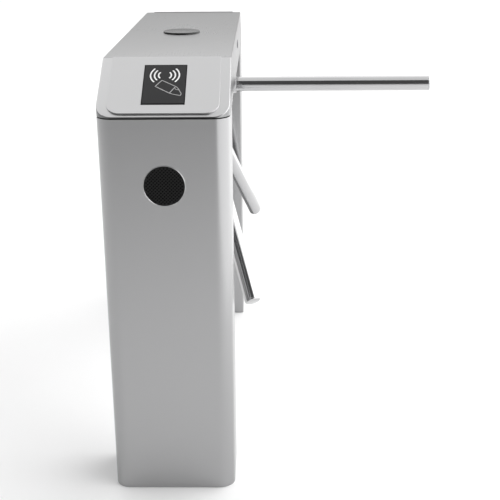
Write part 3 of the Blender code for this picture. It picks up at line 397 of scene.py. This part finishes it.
# %% [markdown]
# ## Legs
#
# A leg is one folded sheet. The two corners at the end of the machine are rolled to a large
# radius and the two that face the gap are tight folds. A closed box is bevelled along its upright
# edges, loses its top and floor, and gets the sheet's thickness. The face towards the gap is
# polished until it mirrors the arms, so its faces take a second finish.

# %% Both legs
TIGHT_FOLD, DOOR_HOLE_HALF, DOOR_GAP, REACH = 0.004, 0.095, 0.0015, 0.01
for end, side in ENDS.items():
    low, high = box_of(end + "_leg")
    bm = block(low, high)
    outer_y = low.y if side < 0 else high.y
    bevelled(bm, upright_edges(bm, lambda p: abs(p.y - outer_y) < 1e-4), CORNER, CORNER_STEPS)
    bevelled(bm, upright_edges(bm, lambda p: abs(p.y - outer_y) > CORNER + 0.01), TIGHT_FOLD, 4)
    ends = [face for face in bm.faces if abs(face.normal.z) > 0.9]
    bmesh.ops.delete(bm, geom=ends, context="FACES_ONLY")
    leg = as_object(end + "_leg_sheet", bm)
    wall = leg.modifiers.new("sheet", "SOLIDIFY")
    wall.thickness = SHEET
    wall.offset = -1
    lens_low, lens_high = box_of(end + "_indicator_lens")
    centre = (lens_low + lens_high) / 2
    place = Matrix.Translation((centre.x, outer_y, centre.z)) @ Matrix.Rotation(pi / 2, 4, "X")
    lens_hole = moved(rod((lens_high.x - lens_low.x) / 2, -REACH, REACH, sides=96), place)
    door_low, door_high = box_of(end + "_leg_door")
    inner_y = high.y if side < 0 else low.y
    door_hole = block(
        (MIDDLE_X - DOOR_HOLE_HALF, inner_y - REACH, door_low.z - DOOR_GAP),
        (MIDDLE_X + DOOR_HOLE_HALF, inner_y + REACH, door_high.z + DOOR_GAP),
    )
    combine(leg, "DIFFERENCE", as_object("lens hole", lens_hole), as_object("door hole", door_hole))
    leg.data.materials.append(FINISH["leg steel"])
    leg.data.materials.append(FINISH["mirror steel"])
    for face in leg.data.polygons:
        faces_gap = face.normal.y * -side > 0.9 and abs(face.center.y - inner_y) < 1e-4
        face.material_index = 1 if faces_gap else 0
    soften(leg, 0.0004)
    attach(leg, "cabinet", "leg steel", end + "_leg")

# %% [markdown]
# ## Lid
#
# The lid starts as a block with the same rolled corners. Two planes slice it, and the cuts become
# the sloping ends. The folds between the slopes, the flat top and the sides are then rounded a
# few millimetres, the open underside is cleared and the sheet gets its thickness.

# %% The lid casing
FOLD_ANGLE, FOLD_WIDTH = 0.45, 0.0022
bm = block(lid_low, lid_high)
bevelled(bm, upright_edges(bm, lambda p: True), CORNER, CORNER_STEPS)
for side in (-1, 1):
    everything = bm.verts[:] + bm.edges[:] + bm.faces[:]
    sliced = bmesh.ops.bisect_plane(
        bm, geom=everything, plane_co=(0, side * HALF_LENGTH, lid_low.z + LIP),
        plane_no=(0, side * sin(SLOPE), cos(SLOPE)), clear_outer=True,
    )
    rim = [item for item in sliced["geom_cut"] if isinstance(item, bmesh.types.BMEdge)]
    bmesh.ops.edgenet_fill(bm, edges=rim)
bmesh.ops.remove_doubles(bm, verts=bm.verts, dist=1e-5)
bmesh.ops.recalc_face_normals(bm, faces=bm.faces)
folds = []
for edge in bm.edges:
    if len(edge.link_faces) == 2 and edge.calc_face_angle() > FOLD_ANGLE:
        middle = (edge.verts[0].co + edge.verts[1].co) / 2
        steepest = max(face.normal.z for face in edge.link_faces)
        if middle.z > lid_low.z + LIP / 2 and steepest > 0.5:
            folds.append(edge)
bevelled(bm, folds, FOLD_WIDTH, 4)
below = [face for face in bm.faces if face.normal.z < -0.9]
bmesh.ops.delete(bm, geom=below, context="FACES_ONLY")
lid = as_object("lid_casing", bm)
wall = lid.modifiers.new("sheet", "SOLIDIFY")
wall.thickness = SHEET
wall.offset = -1
lens_low, lens_high = box_of("top_indicator_lens")
LENS_R = (lens_high.x - lens_low.x) / 2
LENS_Y = (lens_low.y + lens_high.y) / 2
lens_hole = rod(LENS_R + 0.0003, lid_high.z - REACH, lid_high.z + REACH, at=(MIDDLE_X, LENS_Y),
                sides=96)
lock = Vector(joints["lid_lock_turn"]["pos_m"])
to_side = Matrix.Translation(lock) @ Matrix.Rotation(pi / 2, 4, "Y")
lock_hole = moved(rod(0.0096, -REACH, REACH), to_side)
holes = [as_object("lens hole", lens_hole), as_object("lock hole", lock_hole)]
for end, side in ENDS.items():
    hole = moved(block((-0.040, 0.046, -REACH), (0.040, 0.158, REACH)), slope_frame(side))
    holes.append(as_object(end + " window hole", hole))
combine(lid, "DIFFERENCE", *holes)
# The sloping faces of the sheet get the brighter plate finish and the flat top and sides the darker
# lid steel: painted light, lit and shaded copies of one steel.
lid.data.materials.append(FINISH["lid steel"])
lid.data.materials.append(FINISH["plate steel and painted slope light"])
for face in lid.data.polygons:
    painted_lit_slope = 0.6 < face.normal.z < 0.95 and abs(face.normal.y) > 0.4
    face.material_index = 1 if painted_lit_slope else 0
attach(lid, "lid", "lid steel", "lid_shell")

# %% [markdown]
# ## Raised plates and card windows
#
# A plate lies on each slope. It is a thin wedge: its rounded foot stands well off the lid and
# throws a dark line, and it runs out almost flush at the ridge. The same fall is given to the
# card window, by lowering the upper vertices in proportion to how far up the slope they are.

# %% The reader plates
BED = 0.0003
PLATE_HALF, PLATE_CORNER = 0.118, 0.030
FOOT, FOOT_HEIGHT, RIDGE_HEIGHT = 0.008, 0.0040, 0.0015
WINDOW_LOW, WINDOW_HIGH = Vector((-0.0455, 0.0340)), Vector((0.0455, 0.1605))
fall = (FOOT_HEIGHT - RIDGE_HEIGHT) / (SLOPE_LENGTH - FOOT)
GRADE = Matrix.Identity(4)
GRADE[2][1] = -fall
GRADE[2][3] = fall * FOOT


def lowered(bm):
    """Shears everything above the bed, so that it comes down towards the ridge."""
    upper = [vert for vert in bm.verts if vert.co.z > 2 * BED]
    bmesh.ops.transform(bm, matrix=GRADE, verts=upper)
    return bm


for end, side in ENDS.items():
    bm = block((-PLATE_HALF, FOOT, BED), (PLATE_HALF, SLOPE_LENGTH, BED + FOOT_HEIGHT))
    bevelled(bm, upright_edges(bm, lambda p: p.y < FOOT + 0.001), PLATE_CORNER, 16)
    bevelled(bm, upright_edges(bm, lambda p: p.y > SLOPE_LENGTH - 0.001), 0.0010, 3)
    plate = as_object(end + "_reader_trim", moved(lowered(bm), slope_frame(side)))
    opening = block((WINDOW_LOW.x - BED, WINDOW_LOW.y - BED, -0.01),
                    (WINDOW_HIGH.x + BED, WINDOW_HIGH.y + BED, 0.02))
    combine(plate, "DIFFERENCE", as_object("opening", moved(opening, slope_frame(side))))
    soften(plate, 0.0005)
    attach(plate, "lid", "plate steel and painted slope light", end + "_reader_plate")

# %% [markdown]
# The window's face is dark grey with a narrow black border, which is wider along the foot. The
# border is painted shade: it stands in for the shadow lines round the window's edges, and along
# the foot for its dark lower wall. It is an inset of the top face that keeps a darker finish.

# %% The windows
WINDOW_PROUD, SHADE_BORDER, EXTRA_SHADE_BELOW = 0.0005, 0.0018, 0.0020
WINDOW_TOP = BED + FOOT_HEIGHT + WINDOW_PROUD
for end, side in ENDS.items():
    bm = block((*WINDOW_LOW, BED), (*WINDOW_HIGH, WINDOW_TOP))
    top = [face for face in bm.faces if face.normal.z > 0.9]
    # painted shade: a black band round the top face, widened along the foot
    bmesh.ops.inset_region(bm, faces=top, thickness=SHADE_BORDER, depth=0)
    for vert in top[0].verts:
        if vert.co.y < WINDOW_LOW.y + 2 * SHADE_BORDER:
            vert.co.y += EXTRA_SHADE_BELOW
    for face in bm.faces:
        face.material_index = 1
    top[0].material_index = 0
    window = as_object(end + "_card_window", moved(lowered(bm), slope_frame(side)))
    window.data.materials.append(FINISH["window face"])
    window.data.materials.append(FINISH["window sides and painted shade border"])
    attach(window, "lid", "window face", end + "_reader_window")

# %% [markdown]
# The symbol says where to hold a card: three waves to each side, a tilted card and the tip of a
# hand. Each wave is a small square that is spun through part of a turn, so it is an arc with a
# real, very small thickness. Outlines are chains of thin bars whose ends are rounded by discs.

# %% Print helpers
INK = 0.00012


def wave(into, centre, radius, half_angle, facing, width):
    """Adds an arc band around the centre that opens to one side."""
    bm = bmesh.new()
    size = Matrix.Diagonal((width, 1, INK, 1))
    middle = Matrix.Translation((radius, 0, INK / 2))
    upright = Matrix.Rotation(pi / 2, 4, "X")
    bmesh.ops.create_grid(bm, x_segments=1, y_segments=1, size=0.5, matrix=middle @ size @ upright)
    start = (0 if facing > 0 else pi) - half_angle
    moved(bm, Matrix.Rotation(start, 4, "Z"))
    bmesh.ops.spin(bm, geom=bm.faces[:], cent=(0, 0, 0), axis=(0, 0, 1), angle=2 * half_angle,
                   steps=28, use_duplicate=False)
    moved(bm, Matrix.Translation((*centre, WINDOW_TOP)))
    pour(bm, into)


def stroke(bm, points, width, closed=True):
    """A flat line of that width through the points, with round joints."""
    following = points[1:] + points[:1] if closed else points[1:]
    for a, b in zip(points, following):
        a, b = Vector((*a, 0)), Vector((*b, 0))
        run = b - a
        turn = Matrix.Rotation(atan2(run.y, run.x), 4, "Z")
        shape = Matrix.Diagonal((run.length, width, INK, 1))
        lift = Vector((0, 0, WINDOW_TOP + INK / 2))
        middle = Matrix.Translation((a + b) / 2 + lift)
        bmesh.ops.create_cube(bm, size=1, matrix=middle @ turn @ shape)
        for point in (a, b):
            bmesh.ops.create_cone(bm, cap_ends=True, segments=12, radius1=width / 2,
                                  radius2=width / 2, depth=INK,
                                  matrix=Matrix.Translation(point + lift))
    return bm


# %% The card symbol
WAVE_CENTRE = (-0.0004, 0.1262)
CARD = [(-0.0057, 0.1100), (0.0242, 0.0902), (0.0121, 0.0690), (-0.0192, 0.0908)]
HAND = [
    (0.0242, 0.0902), (0.0288, 0.0858), (0.0375, 0.0672), (0.0355, 0.0612), (0.0190, 0.0660),
    (0.0121, 0.0690),
]
THUMB = [(0.0242, 0.0902), (0.0222, 0.0845), (0.0262, 0.0800), (0.0330, 0.0790)]
for end, side in ENDS.items():
    bm = bmesh.new()
    for radius in (0.0136, 0.0223, 0.0308):
        for facing in (-1, 1):
            wave(bm, WAVE_CENTRE, radius, radians(44), facing, 0.0031)
    waves = as_object(end + "_wave_print", moved(lowered(bm), slope_frame(side)))
    attach(waves, "lid", "printed white")
    bm = stroke(bmesh.new(), CARD, 0.0017)
    stroke(bm, HAND, 0.0015, closed=False)
    stroke(bm, THUMB, 0.0013, closed=False)
    card = as_object(end + "_card_print", moved(lowered(bm), slope_frame(side)))
    attach(card, "lid", "printed grey")

# %% [markdown]
# ## Direction indicators
#
# A round window in each leg holds a dot-matrix display. The dots stand in staggered rows on a
# black mask, each one a low, blunt cone. It is repeated hundreds of times, so it gets few faces.

# %% The dot displays
DOT_PITCH, DOT_R, DOT_TOP = 0.0076, 0.0018, 0.55
DOT_MARGIN, MASK_DEPTH, LENS_DEPTH = 0.0045, 0.0007, 0.0025
for end, side in ENDS.items():
    lens_low, lens_high = box_of(end + "_indicator_lens")
    centre = (lens_low + lens_high) / 2
    face_y = lens_low.y if side < 0 else lens_high.y
    radius = (lens_high.x - lens_low.x) / 2
    out = Matrix.Rotation(pi / 2 if side < 0 else -pi / 2, 4, "X")
    place = Matrix.Translation((centre.x, face_y, centre.z)) @ out
    ring = turned([
        (radius, -LENS_DEPTH), (radius, -0.0004), (radius - 0.0005, 0), (radius - 0.0011, 0),
        (radius - 0.0016, -0.0006), (radius - 0.0016, -LENS_DEPTH),
    ], steps=96)
    attach(as_object(end + "_indicator_ring", moved(ring, place)), "cabinet", "polished tube")
    mask = turned([
        (0, -MASK_DEPTH), (radius - 0.0018, -MASK_DEPTH), (radius - 0.0018, -LENS_DEPTH),
        (0, -LENS_DEPTH),
    ], steps=96)
    mask = as_object(end + "_indicator_mask", moved(mask, place))
    attach(mask, "cabinet", "led mask", end + "_indicator_lens")
    dots = bmesh.new()
    rows = int(2 * radius / DOT_PITCH) + 2
    for row in range(-rows, rows + 1):
        for column in range(-rows, rows + 1):
            x = (column + 0.5 * (row % 2)) * DOT_PITCH
            y = row * DOT_PITCH / 2
            if hypot(x, y) < radius - DOT_MARGIN:
                bmesh.ops.create_cone(dots, cap_ends=True, segments=10, radius1=DOT_R,
                                      radius2=DOT_R * DOT_TOP, depth=MASK_DEPTH,
                                      matrix=Matrix.Translation((x, y, -0.00037)))
    dots = as_object(end + "_indicator_dots", moved(dots, place), sharp=60)
    attach(dots, "cabinet", "led dot")

# %% [markdown]
# ## Pass light
#
# The light on the flat top is a smoked cap, a few millimetres high. Its top shines and its side
# looks almost black, because it is thick there. The cap is one turned form with two finishes.

# %% The pass light
lens_low, lens_high = box_of("top_indicator_lens")
crown = lens_high.z
cap = turned([
    (0, crown), (LENS_R - 0.0016, crown), (LENS_R - 0.0008, crown - 0.0002),
    (LENS_R - 0.0002, crown - 0.0007), (LENS_R, crown - 0.0014), (LENS_R, lens_low.z),
    (0, lens_low.z),
], steps=96)
for face in cap.faces:
    face.material_index = 0 if face.normal.z > 0.5 else 1
cap = as_object("pass_light", moved(cap, Matrix.Translation((MIDDLE_X, LENS_Y, 0))))
cap.data.materials.append(FINISH["smoked lens"])
cap.data.materials.append(FINISH["lens side"])
attach(cap, "lid", "smoked lens", "top_indicator_lens")

# %% [markdown]
# ## Rotor
#
# The arms' lines meet at one point inside the cabinet, which gives each arm its own axes: Z along
# the tube. The first arm lies level, and the others are a third of a turn round the shaft.

# %% Arm axes
arm_low, arm_high = box_of("arm_1")
ARM_R = (arm_high.y - arm_low.y) / 2
arm_z = (arm_low.z + arm_high.z) / 2
meeting = shaft_point + outward * ((arm_z - shaft_point.z) / outward.z)
ARM_REACH = arm_high.x - meeting.x
ARM_START = arm_low.x - meeting.x
DEPTH = (meeting - shaft_point).length
TILT = radians(45)


def arm_frame(i):
    third = Matrix.Rotation(2 * pi * i / 3, 4, "Z")
    return HEAD @ Matrix.Translation((0, 0, DEPTH)) @ third @ Matrix.Rotation(pi - TILT, 4, "Y")


print("arm", round(ARM_REACH - ARM_START, 3), "m long,", round(2000 * ARM_R, 1), "mm thick")

# %% The arms
for i in range(3):
    tube = turned([
        (0, ARM_REACH), (ARM_R - 0.0028, ARM_REACH), (ARM_R - 0.0016, ARM_REACH - 0.0004),
        (ARM_R - 0.0004, ARM_REACH - 0.0016), (ARM_R, ARM_REACH - 0.0028),
        (ARM_R, ARM_REACH - 0.0046), (ARM_R - 0.0003, ARM_REACH - 0.0050),
        (ARM_R, ARM_REACH - 0.0054), (ARM_R, ARM_START), (0, ARM_START),
    ], steps=72)
    tube = as_object(f"arm_tube_{i + 1}", moved(tube, arm_frame(i)))
    attach(tube, "rotor", "polished tube", f"arm_{i + 1}")

# %% [markdown]
# The hub is a blunt casting. Its rim runs close to the slanted face, its cone falls away to a
# flat nose, and each arm enters a socket that flares into the cone. The cone and the sockets are
# spun on their own and then fused.

# %% The hub
HUB_R, NOSE_R, SOCKET_R, MOUTH = 0.084, 0.038, 0.0225, 0.110
CONE = 0.100 * 2**0.5 - DEPTH
rim_height, nose_height = CONE - HUB_R, CONE - NOSE_R
hub = as_object("hub_casting", moved(turned([
    (0.0130, 0.012), (HUB_R - 0.0015, 0.012), (HUB_R, 0.0105), (HUB_R, -rim_height + 0.0015),
    (HUB_R - 0.0006, -rim_height - 0.0004), (HUB_R - 0.0020, -rim_height - 0.0020),
    (NOSE_R + 0.0028, -nose_height + 0.0028), (NOSE_R + 0.0010, -nose_height + 0.0012),
    (NOSE_R - 0.0010, -nose_height + 0.0002), (NOSE_R - 0.0030, -nose_height),
    (0.0130, -nose_height),
], steps=128), HEAD))
sockets = []
for i in range(3):
    flare = turned([
        (0, MOUTH), (SOCKET_R - 0.0012, MOUTH), (SOCKET_R - 0.0003, 0.1096), (SOCKET_R, 0.1087),
        (SOCKET_R + 0.0001, 0.1065), (SOCKET_R + 0.0008, 0.1042), (SOCKET_R + 0.0025, 0.1018),
        (SOCKET_R + 0.0052, 0.0993), (SOCKET_R + 0.0080, 0.0972), (SOCKET_R + 0.0040, ARM_START),
        (0, ARM_START),
    ], steps=72)
    sockets.append(as_object(f"socket {i}", moved(flare, arm_frame(i))))
combine(hub, "UNION", *sockets)
clear = turned([
    (HUB_R + 0.0002, 0.03), (HUB_R + 0.05, 0.03), (HUB_R + 0.05, -0.0025),
    (HUB_R + 0.0002, -0.0025),
], steps=128)
bores = []
for i in range(3):
    bore = rod(ARM_R + 0.0003, ARM_START - 0.0003, 0.13, sides=72)
    bores.append(as_object(f"bore {i}", moved(bore, arm_frame(i))))
combine(hub, "DIFFERENCE", as_object("rim space", moved(clear, HEAD)), *bores)
attach(hub, "rotor", "cast hub", "rotor_hub")
nose = turned([
    (0, -nose_height - 0.0063), (0.0060, -nose_height - 0.0062), (0.0200, -nose_height - 0.0056),
    (0.0290, -nose_height - 0.0047), (0.0325, -nose_height - 0.0034),
    (0.0340, -nose_height - 0.0018), (0.0340, -nose_height - 0.0003), (0, -nose_height - 0.0003),
], steps=96)
attach(as_object("hub_cap", moved(nose, HEAD)), "rotor", "polished tube", "hub_nose_cap")

# %% [markdown]
# ## Everything that needs only better edges
#
# Most of the machinery already has the right shape. A copy of each solid is merged, its flat
# areas become single faces, its sharp edges get a small bevel and it gets a finish. The copy then
# stands for the solid.

# %% Refine a solid
def refine(node, body, finish, width=0.0004, sharp=32, dissolve=True):
    bm = bmesh.new()
    bm.from_mesh(frame["nodes"][node].data)
    bmesh.ops.remove_doubles(bm, verts=bm.verts, dist=2e-6)
    if dissolve:
        bmesh.ops.dissolve_limit(bm, angle_limit=radians(0.5), verts=bm.verts, edges=bm.edges)
    piece = as_object(node + "_piece", bm, sharp)
    if width:
        soften(piece, width, segments=2, angle=40)
    return attach(piece, body, finish, node)


bodies = frame["record"]["behaviour"]["bodies"]
body_of = {node: body for body, nodes in bodies.items() for node in nodes}
REFINED = {
    "lid steel": ["bridge_trough"],
    "mirror steel": ["front_leg_door", "rear_leg_door"],
    "zinc plate": [
        "front_base_plate", "rear_base_plate", "front_door_hinge", "rear_door_hinge",
        "lid_hinge_base", "lid_hinge_leaf", "lid_catch", "mechanism_frame", "upper_plate",
        "upper_plunger", "lower_plunger",
    ],
    "cast hub": ["bearing_housing"],
    "oiled steel and painted dark reflection": [
        "lock_wheel", "rotor_gear", "crank_gear", "damper_pinion", "upper_pawl", "lower_pawl",
    ],
    "ground steel": ["main_shaft", "inner_bearing", "outer_bearing"],
    "black housing": [
        "front_card_reader", "rear_card_reader", "front_indicator_housing",
        "rear_indicator_housing", "top_indicator_housing", "upper_solenoid", "lower_solenoid",
        "damper_body", "encoder_disc", "index_sensor", "board_carrier",
    ],
    "grey housing": ["passage_counter"],
    "circuit board": ["control_board"],
    "rubber": ["lid_rest_strip"],
}
FINE = ("rotor_gear", "crank_gear", "damper_pinion", "control_board", "encoder_disc")
for finish, nodes in REFINED.items():
    for node in nodes:
        refine(node, body_of[node], finish, width=0.0002 if node in FINE else 0.0004)
refine("centring_spring", "cabinet", "ground steel", width=0, sharp=70, dissolve=False)

# %% [markdown]
# ## Locks
#
# The lid's cam lock has a flanged barrel and a plug with a key slot. The doors have quarter-turn
# latches with a coin slot. The flange is turned; the plug and the latches are refined from their
# solids.

# %% The lid lock
barrel = turned([
    (0.0110, 0.0003), (0.0110, 0.0011), (0.0104, 0.0018), (0.0095, 0.0020), (0.0070, 0.0020),
    (0.0064, 0.0016), (0.0064, -0.022), (0.0091, -0.022), (0.0091, 0.0003),
], steps=64)
# The barrel is chrome; its dark finish is painted reflection, standing in for the dark oval its
# face shows from the camera.
attach(as_object("lock_barrel", moved(barrel, to_side)), "lid", "oiled steel and painted dark reflection", "lid_lock_barrel")
refine("lid_lock_plug", "lid_lock", "oiled steel and painted dark reflection", width=0.0003)

# %% The door latches
for end in ENDS:
    refine(end + "_door_latch", end + "_latch", "zinc plate", width=0.0003)

# %% [markdown]
# ## Screws
#
# Screw heads say how a machine is put together. A socket head is a small turned form with a
# recess, so one profile serves all of them, and each group of heads is one piece. They sit on the
# four pillars, round the bearing's flange and along the hinges.

# %% Socket heads
def add_head(into, place, radius, height):
    """A domed screw head with a socket, standing on the place's XY plane."""
    recess = radius * 0.42
    bm = turned([
        (0, height * 0.45), (recess, height * 0.45), (recess, height), (radius * 0.75, height),
        (radius * 0.94, height * 0.8), (radius, height * 0.5), (radius, 0), (0, 0),
    ], steps=20)
    pour(moved(bm, place), into)


PILLARS = [(u, v) for u in (-0.072, 0.072) for v in (-0.100, 0.125)]
UPPER_FACE, FLANGE_FACE, FLANGE_BOLTS = 0.106, 0.0323, 0.041
bm = bmesh.new()
for u, v in PILLARS:
    add_head(bm, HEAD @ Matrix.Translation((u, v, UPPER_FACE)), 0.0050, 0.0032)
for i in range(6):
    spoke = Matrix.Rotation(radians(30 + 60 * i), 4, "Z")
    add_head(bm, HEAD @ spoke @ Matrix.Translation((FLANGE_BOLTS, 0, FLANGE_FACE)), 0.0030, 0.0026)
attach(as_object("mechanism_screws", bm), "cabinet", "oiled steel and painted dark reflection")

# %% Hinge screws
pin = Vector(joints["lid_hinge"]["pos_m"])
LEAF_FACE, HEAD_STEP, HINGE_HEAD = 0.0027, 0.0095, (0.0028, 0.0012)
facing_out = Matrix.Rotation(-pi / 2, 4, "Y")
for name, body, lift in (("hinge_screws_base", "cabinet", -HEAD_STEP),
                         ("hinge_screws_lid", "lid", HEAD_STEP)):
    bm = bmesh.new()
    for y in (-0.27, -0.15, -0.03, 0.03, 0.15, 0.27):
        at = (pin.x + LEAF_FACE, y, pin.z + lift)
        add_head(bm, Matrix.Translation(at) @ facing_out, *HINGE_HEAD)
    attach(as_object(name, bm), body, "ground steel")
for end, side in ENDS.items():
    pin = Vector(joints[end + "_door_swing"]["pos_m"])
    facing_gap = Matrix.Rotation(side * pi / 2, 4, "X")
    bm = bmesh.new()
    for z in (-0.12, 0.0, 0.12):
        at = (pin.x - HEAD_STEP, pin.y + side * LEAF_FACE, pin.z + z)
        add_head(bm, Matrix.Translation(at) @ facing_gap, *HINGE_HEAD)
    attach(as_object(end + "_door_hinge_screws", bm), "cabinet", "ground steel")

# %% [markdown]
# ## Electronics
#
# A bare green rectangle doesn't read as a circuit board. What does is the handful of parts every
# such board has: screw terminals along its edges, relays for the solenoids, tall capacitors, and
# a flat square chip. Each kind is one piece made from blocks and turned forms.

# %% Board parts
board_low, board_high = box_of("control_board")
ON_BOARD = Matrix.Translation((board_low.x, board_low.y, board_high.z))
TERMINAL_STEP, RELAY_STEP = 0.0104, 0.021
CANS = (  # x, y, radius, height
    (0.052, 0.020, 0.0065, 0.020), (0.068, 0.020, 0.0065, 0.020), (0.053, 0.042, 0.0040, 0.011),
    (0.064, 0.042, 0.0040, 0.011), (0.030, 0.128, 0.0050, 0.014),
)
terminals, screws, relays, chips, cans = (bmesh.new() for _ in range(5))
for x in (0.004, 0.086):
    for i in range(12):
        step = TERMINAL_STEP * i
        add_box(terminals, (x, 0.012 + step, 0.0), (0.010, 0.0100, 0.0115), ON_BOARD)
        screw_at = ON_BOARD @ Matrix.Translation((x + 0.005, 0.017 + step, 0.0112))
        add_head(screws, screw_at, 0.0030, 0.0010)
for i in range(4):
    add_box(relays, (0.020, 0.014 + RELAY_STEP * i, 0.0), (0.0185, 0.0155, 0.0155), ON_BOARD)
add_box(chips, (0.052, 0.060, 0.0), (0.018, 0.018, 0.0018), ON_BOARD)
for i in range(5):
    chip_at = (0.047 + 0.0095 * (i % 3), 0.095 + 0.012 * (i // 3), 0.0)
    add_box(chips, chip_at, (0.0060, 0.0090, 0.0016), ON_BOARD)
for x, y, r, h in CANS:
    can = turned([
        (0, h - 0.0006), (r * 0.72, h - 0.0006), (r * 0.80, h), (r * 0.93, h), (r, h - 0.0008),
        (r, 0.0025), (r * 0.94, 0.0018), (r, 0.0010), (r, 0), (0, 0),
    ], steps=24)
    pour(moved(can, ON_BOARD @ Matrix.Translation((x, y, 0))), cans)
for name, bm, finish, edge in (("board_terminals", terminals, "terminal green", 0.0004),
                               ("board_terminal_screws", screws, "ground steel", 0),
                               ("board_relays", relays, "relay blue", 0.0006),
                               ("board_chips", chips, "black housing", 0.0002),
                               ("board_capacitors", cans, "black housing", 0)):
    piece = as_object(name, bm)
    if edge:
        soften(piece, edge)
    attach(piece, "cabinet", finish)

# %% [markdown]
# The passage counter has a window with six number wheels. The digits are text that is turned into
# a mesh before it is put in place. The power supply has rows of slots to let its heat out.

# %% Counter wheels
counter_low, counter_high = box_of("passage_counter")
IN_COUNTER = Matrix.Translation((counter_low.x, counter_low.y, counter_high.z - 0.003))
WHEEL_STEP, WHEEL = 0.0071, (0.0065, 0.0180, 0.0012)
wheels = bmesh.new()
for i in range(6):
    add_box(wheels, (0.0090 + WHEEL_STEP * i, 0.0120, 0.0001), WHEEL, IN_COUNTER)
attach(soften(as_object("counter_wheels", wheels), 0.0005), "cabinet", "led mask")
digits = bmesh.new()
for i, digit in enumerate("004271"):
    text = bpy.data.curves.new("digit", "FONT")
    text.body = digit
    text.size = 0.0095
    text.extrude = 0.00008
    text.resolution_u = 4
    text.align_x = "CENTER"
    holder = bpy.data.objects.new("digit", text)
    bpy.context.scene.collection.objects.link(holder)
    graph = bpy.context.evaluated_depsgraph_get()
    mesh = bpy.data.meshes.new_from_object(holder.evaluated_get(graph))
    spot = Matrix.Translation((0.01225 + WHEEL_STEP * i, 0.0176, 0.0014))
    mesh.transform(IN_COUNTER @ spot)
    digits.from_mesh(mesh)
    bpy.data.objects.remove(holder)
bmesh.ops.remove_doubles(digits, verts=digits.verts, dist=1e-7)
attach(as_object("counter_digits", digits), "cabinet", "printed white")

# %% The power supply's cover
supply_low, supply_high = box_of("power_supply")
cover = as_object("supply_cover", block(supply_low, supply_high))
SLOT_SIZE, SLOT_DEPTH = (0.038, 0.004, 0.0050), 0.0012
slots = bmesh.new()
for column in (0, 1):
    for row in range(10):
        x = supply_low.x + 0.012 + 0.048 * column
        z = supply_low.z + 0.030 + 0.011 * row
        add_box(slots, (x, supply_high.y - SLOT_DEPTH, z), SLOT_SIZE)
combine(cover, "DIFFERENCE", as_object("slots", slots))
attach(soften(cover, 0.0005), "cabinet", "zinc plate", "power_supply")

# %% [markdown]
# ## Floor, light and camera
#
# Polished steel is only as good as what it reflects. A plain pale room does most of the work: it
# is brightest on the lane's side and darkest behind the camera, which is what gives the front its
# grey. One large soft light hangs overhead, and a lower one beside the lane draws the white band
# down the rolled corner.

# %% The floor
bm = bmesh.new()
bmesh.ops.create_grid(bm, x_segments=1, y_segments=1, size=40)
moved(bm, Matrix.Translation((0, 0, -0.0005)))
floor = as_object("floor", bm)
paint = bpy.data.materials.new("pale floor")
paint.use_nodes = True
shader = paint.node_tree.nodes["Principled BSDF"]
shader.inputs["Base Color"].default_value = (0.90, 0.90, 0.90, 1)
shader.inputs["Roughness"].default_value = 0.95
shader.inputs["Specular IOR Level"].default_value = 0.1
floor.data.materials.append(paint)

# %% The lights
def soft_light(name, size, radiance, place):
    """A rectangle that shines along its own -Z and isn't itself in the picture."""
    data = bpy.data.lights.new(name, "AREA")
    data.shape = "RECTANGLE"
    data.size, data.size_y = size
    data.energy = radiance * pi * size[0] * size[1]
    lamp = bpy.data.objects.new(name, data)
    lamp.matrix_world = place
    lamp.visible_camera = False
    bpy.context.scene.collection.objects.link(lamp)


soft_light("overhead", (12.0, 15.0), 0.95, Matrix.Translation((MIDDLE_X, 5.6, 4.0)))
upright = Matrix.Rotation(pi / 2, 4, "Z") @ Matrix.Rotation(pi / 2, 4, "X")
soft_light("beside the lane", (5.6, 2.0), 0.84, Matrix.Translation((1.10, -0.4, 1.0)) @ upright)

# %% The room
world = bpy.data.worlds.new("pale room")
bpy.context.scene.world = world
bpy.context.scene.view_settings.view_transform = "Standard"
world.use_nodes = True
room = world.node_tree
sky = room.nodes["Background"]
heading = room.nodes.new("ShaderNodeSeparateXYZ")
room.links.new(room.nodes.new("ShaderNodeTexCoord").outputs["Generated"], heading.inputs[0])


def glow(axis, start, stop, low, high):
    """A smooth change of brightness between two values of one heading component."""
    node = room.nodes.new("ShaderNodeMapRange")
    node.interpolation_type = "SMOOTHSTEP"
    for label, value in zip(("From Min", "From Max", "To Min", "To Max"), (start, stop, low, high)):
        node.inputs[label].default_value = value
    room.links.new(heading.outputs[axis], node.inputs["Value"])
    return node


sides = [
    glow("X", 0.25, 0.95, 0.10, 2.40), glow("Y", 0.15, 0.95, 0.0, 0.50),
    glow("X", -0.10, -0.80, 0.0, 0.35),
]
level = sides[0].outputs["Result"]
for part in sides[1:]:
    total = room.nodes.new("ShaderNodeMath")
    room.links.new(level, total.inputs[0])
    room.links.new(part.outputs["Result"], total.inputs[1])
    level = total.outputs[0]
room.links.new(level, sky.inputs["Strength"])
sky.inputs["Color"].default_value = (1, 1, 1, 1)

# %% The camera
camera_data = bpy.data.cameras.new("camera")
camera_data.lens = 72.34
camera = bpy.data.objects.new("camera", camera_data)
bpy.context.scene.collection.objects.link(camera)
bpy.context.scene.camera = camera
yaw, pitch, roll = radians(-0.885), radians(19.5475), radians(-0.4502)
forward = Vector((sin(yaw) * cos(pitch), cos(yaw) * cos(pitch), -sin(pitch)))
sideways = Vector((cos(yaw), -sin(yaw), 0))
above = sideways.cross(forward)
right = sideways * cos(roll) + above * sin(roll)
up = above * cos(roll) - sideways * sin(roll)
camera.matrix_world = (
    Matrix.Translation((MIDDLE_X + 0.2112, -2.637, 1.3148))
    @ Matrix((right, up, -forward)).transposed().to_4x4()
)
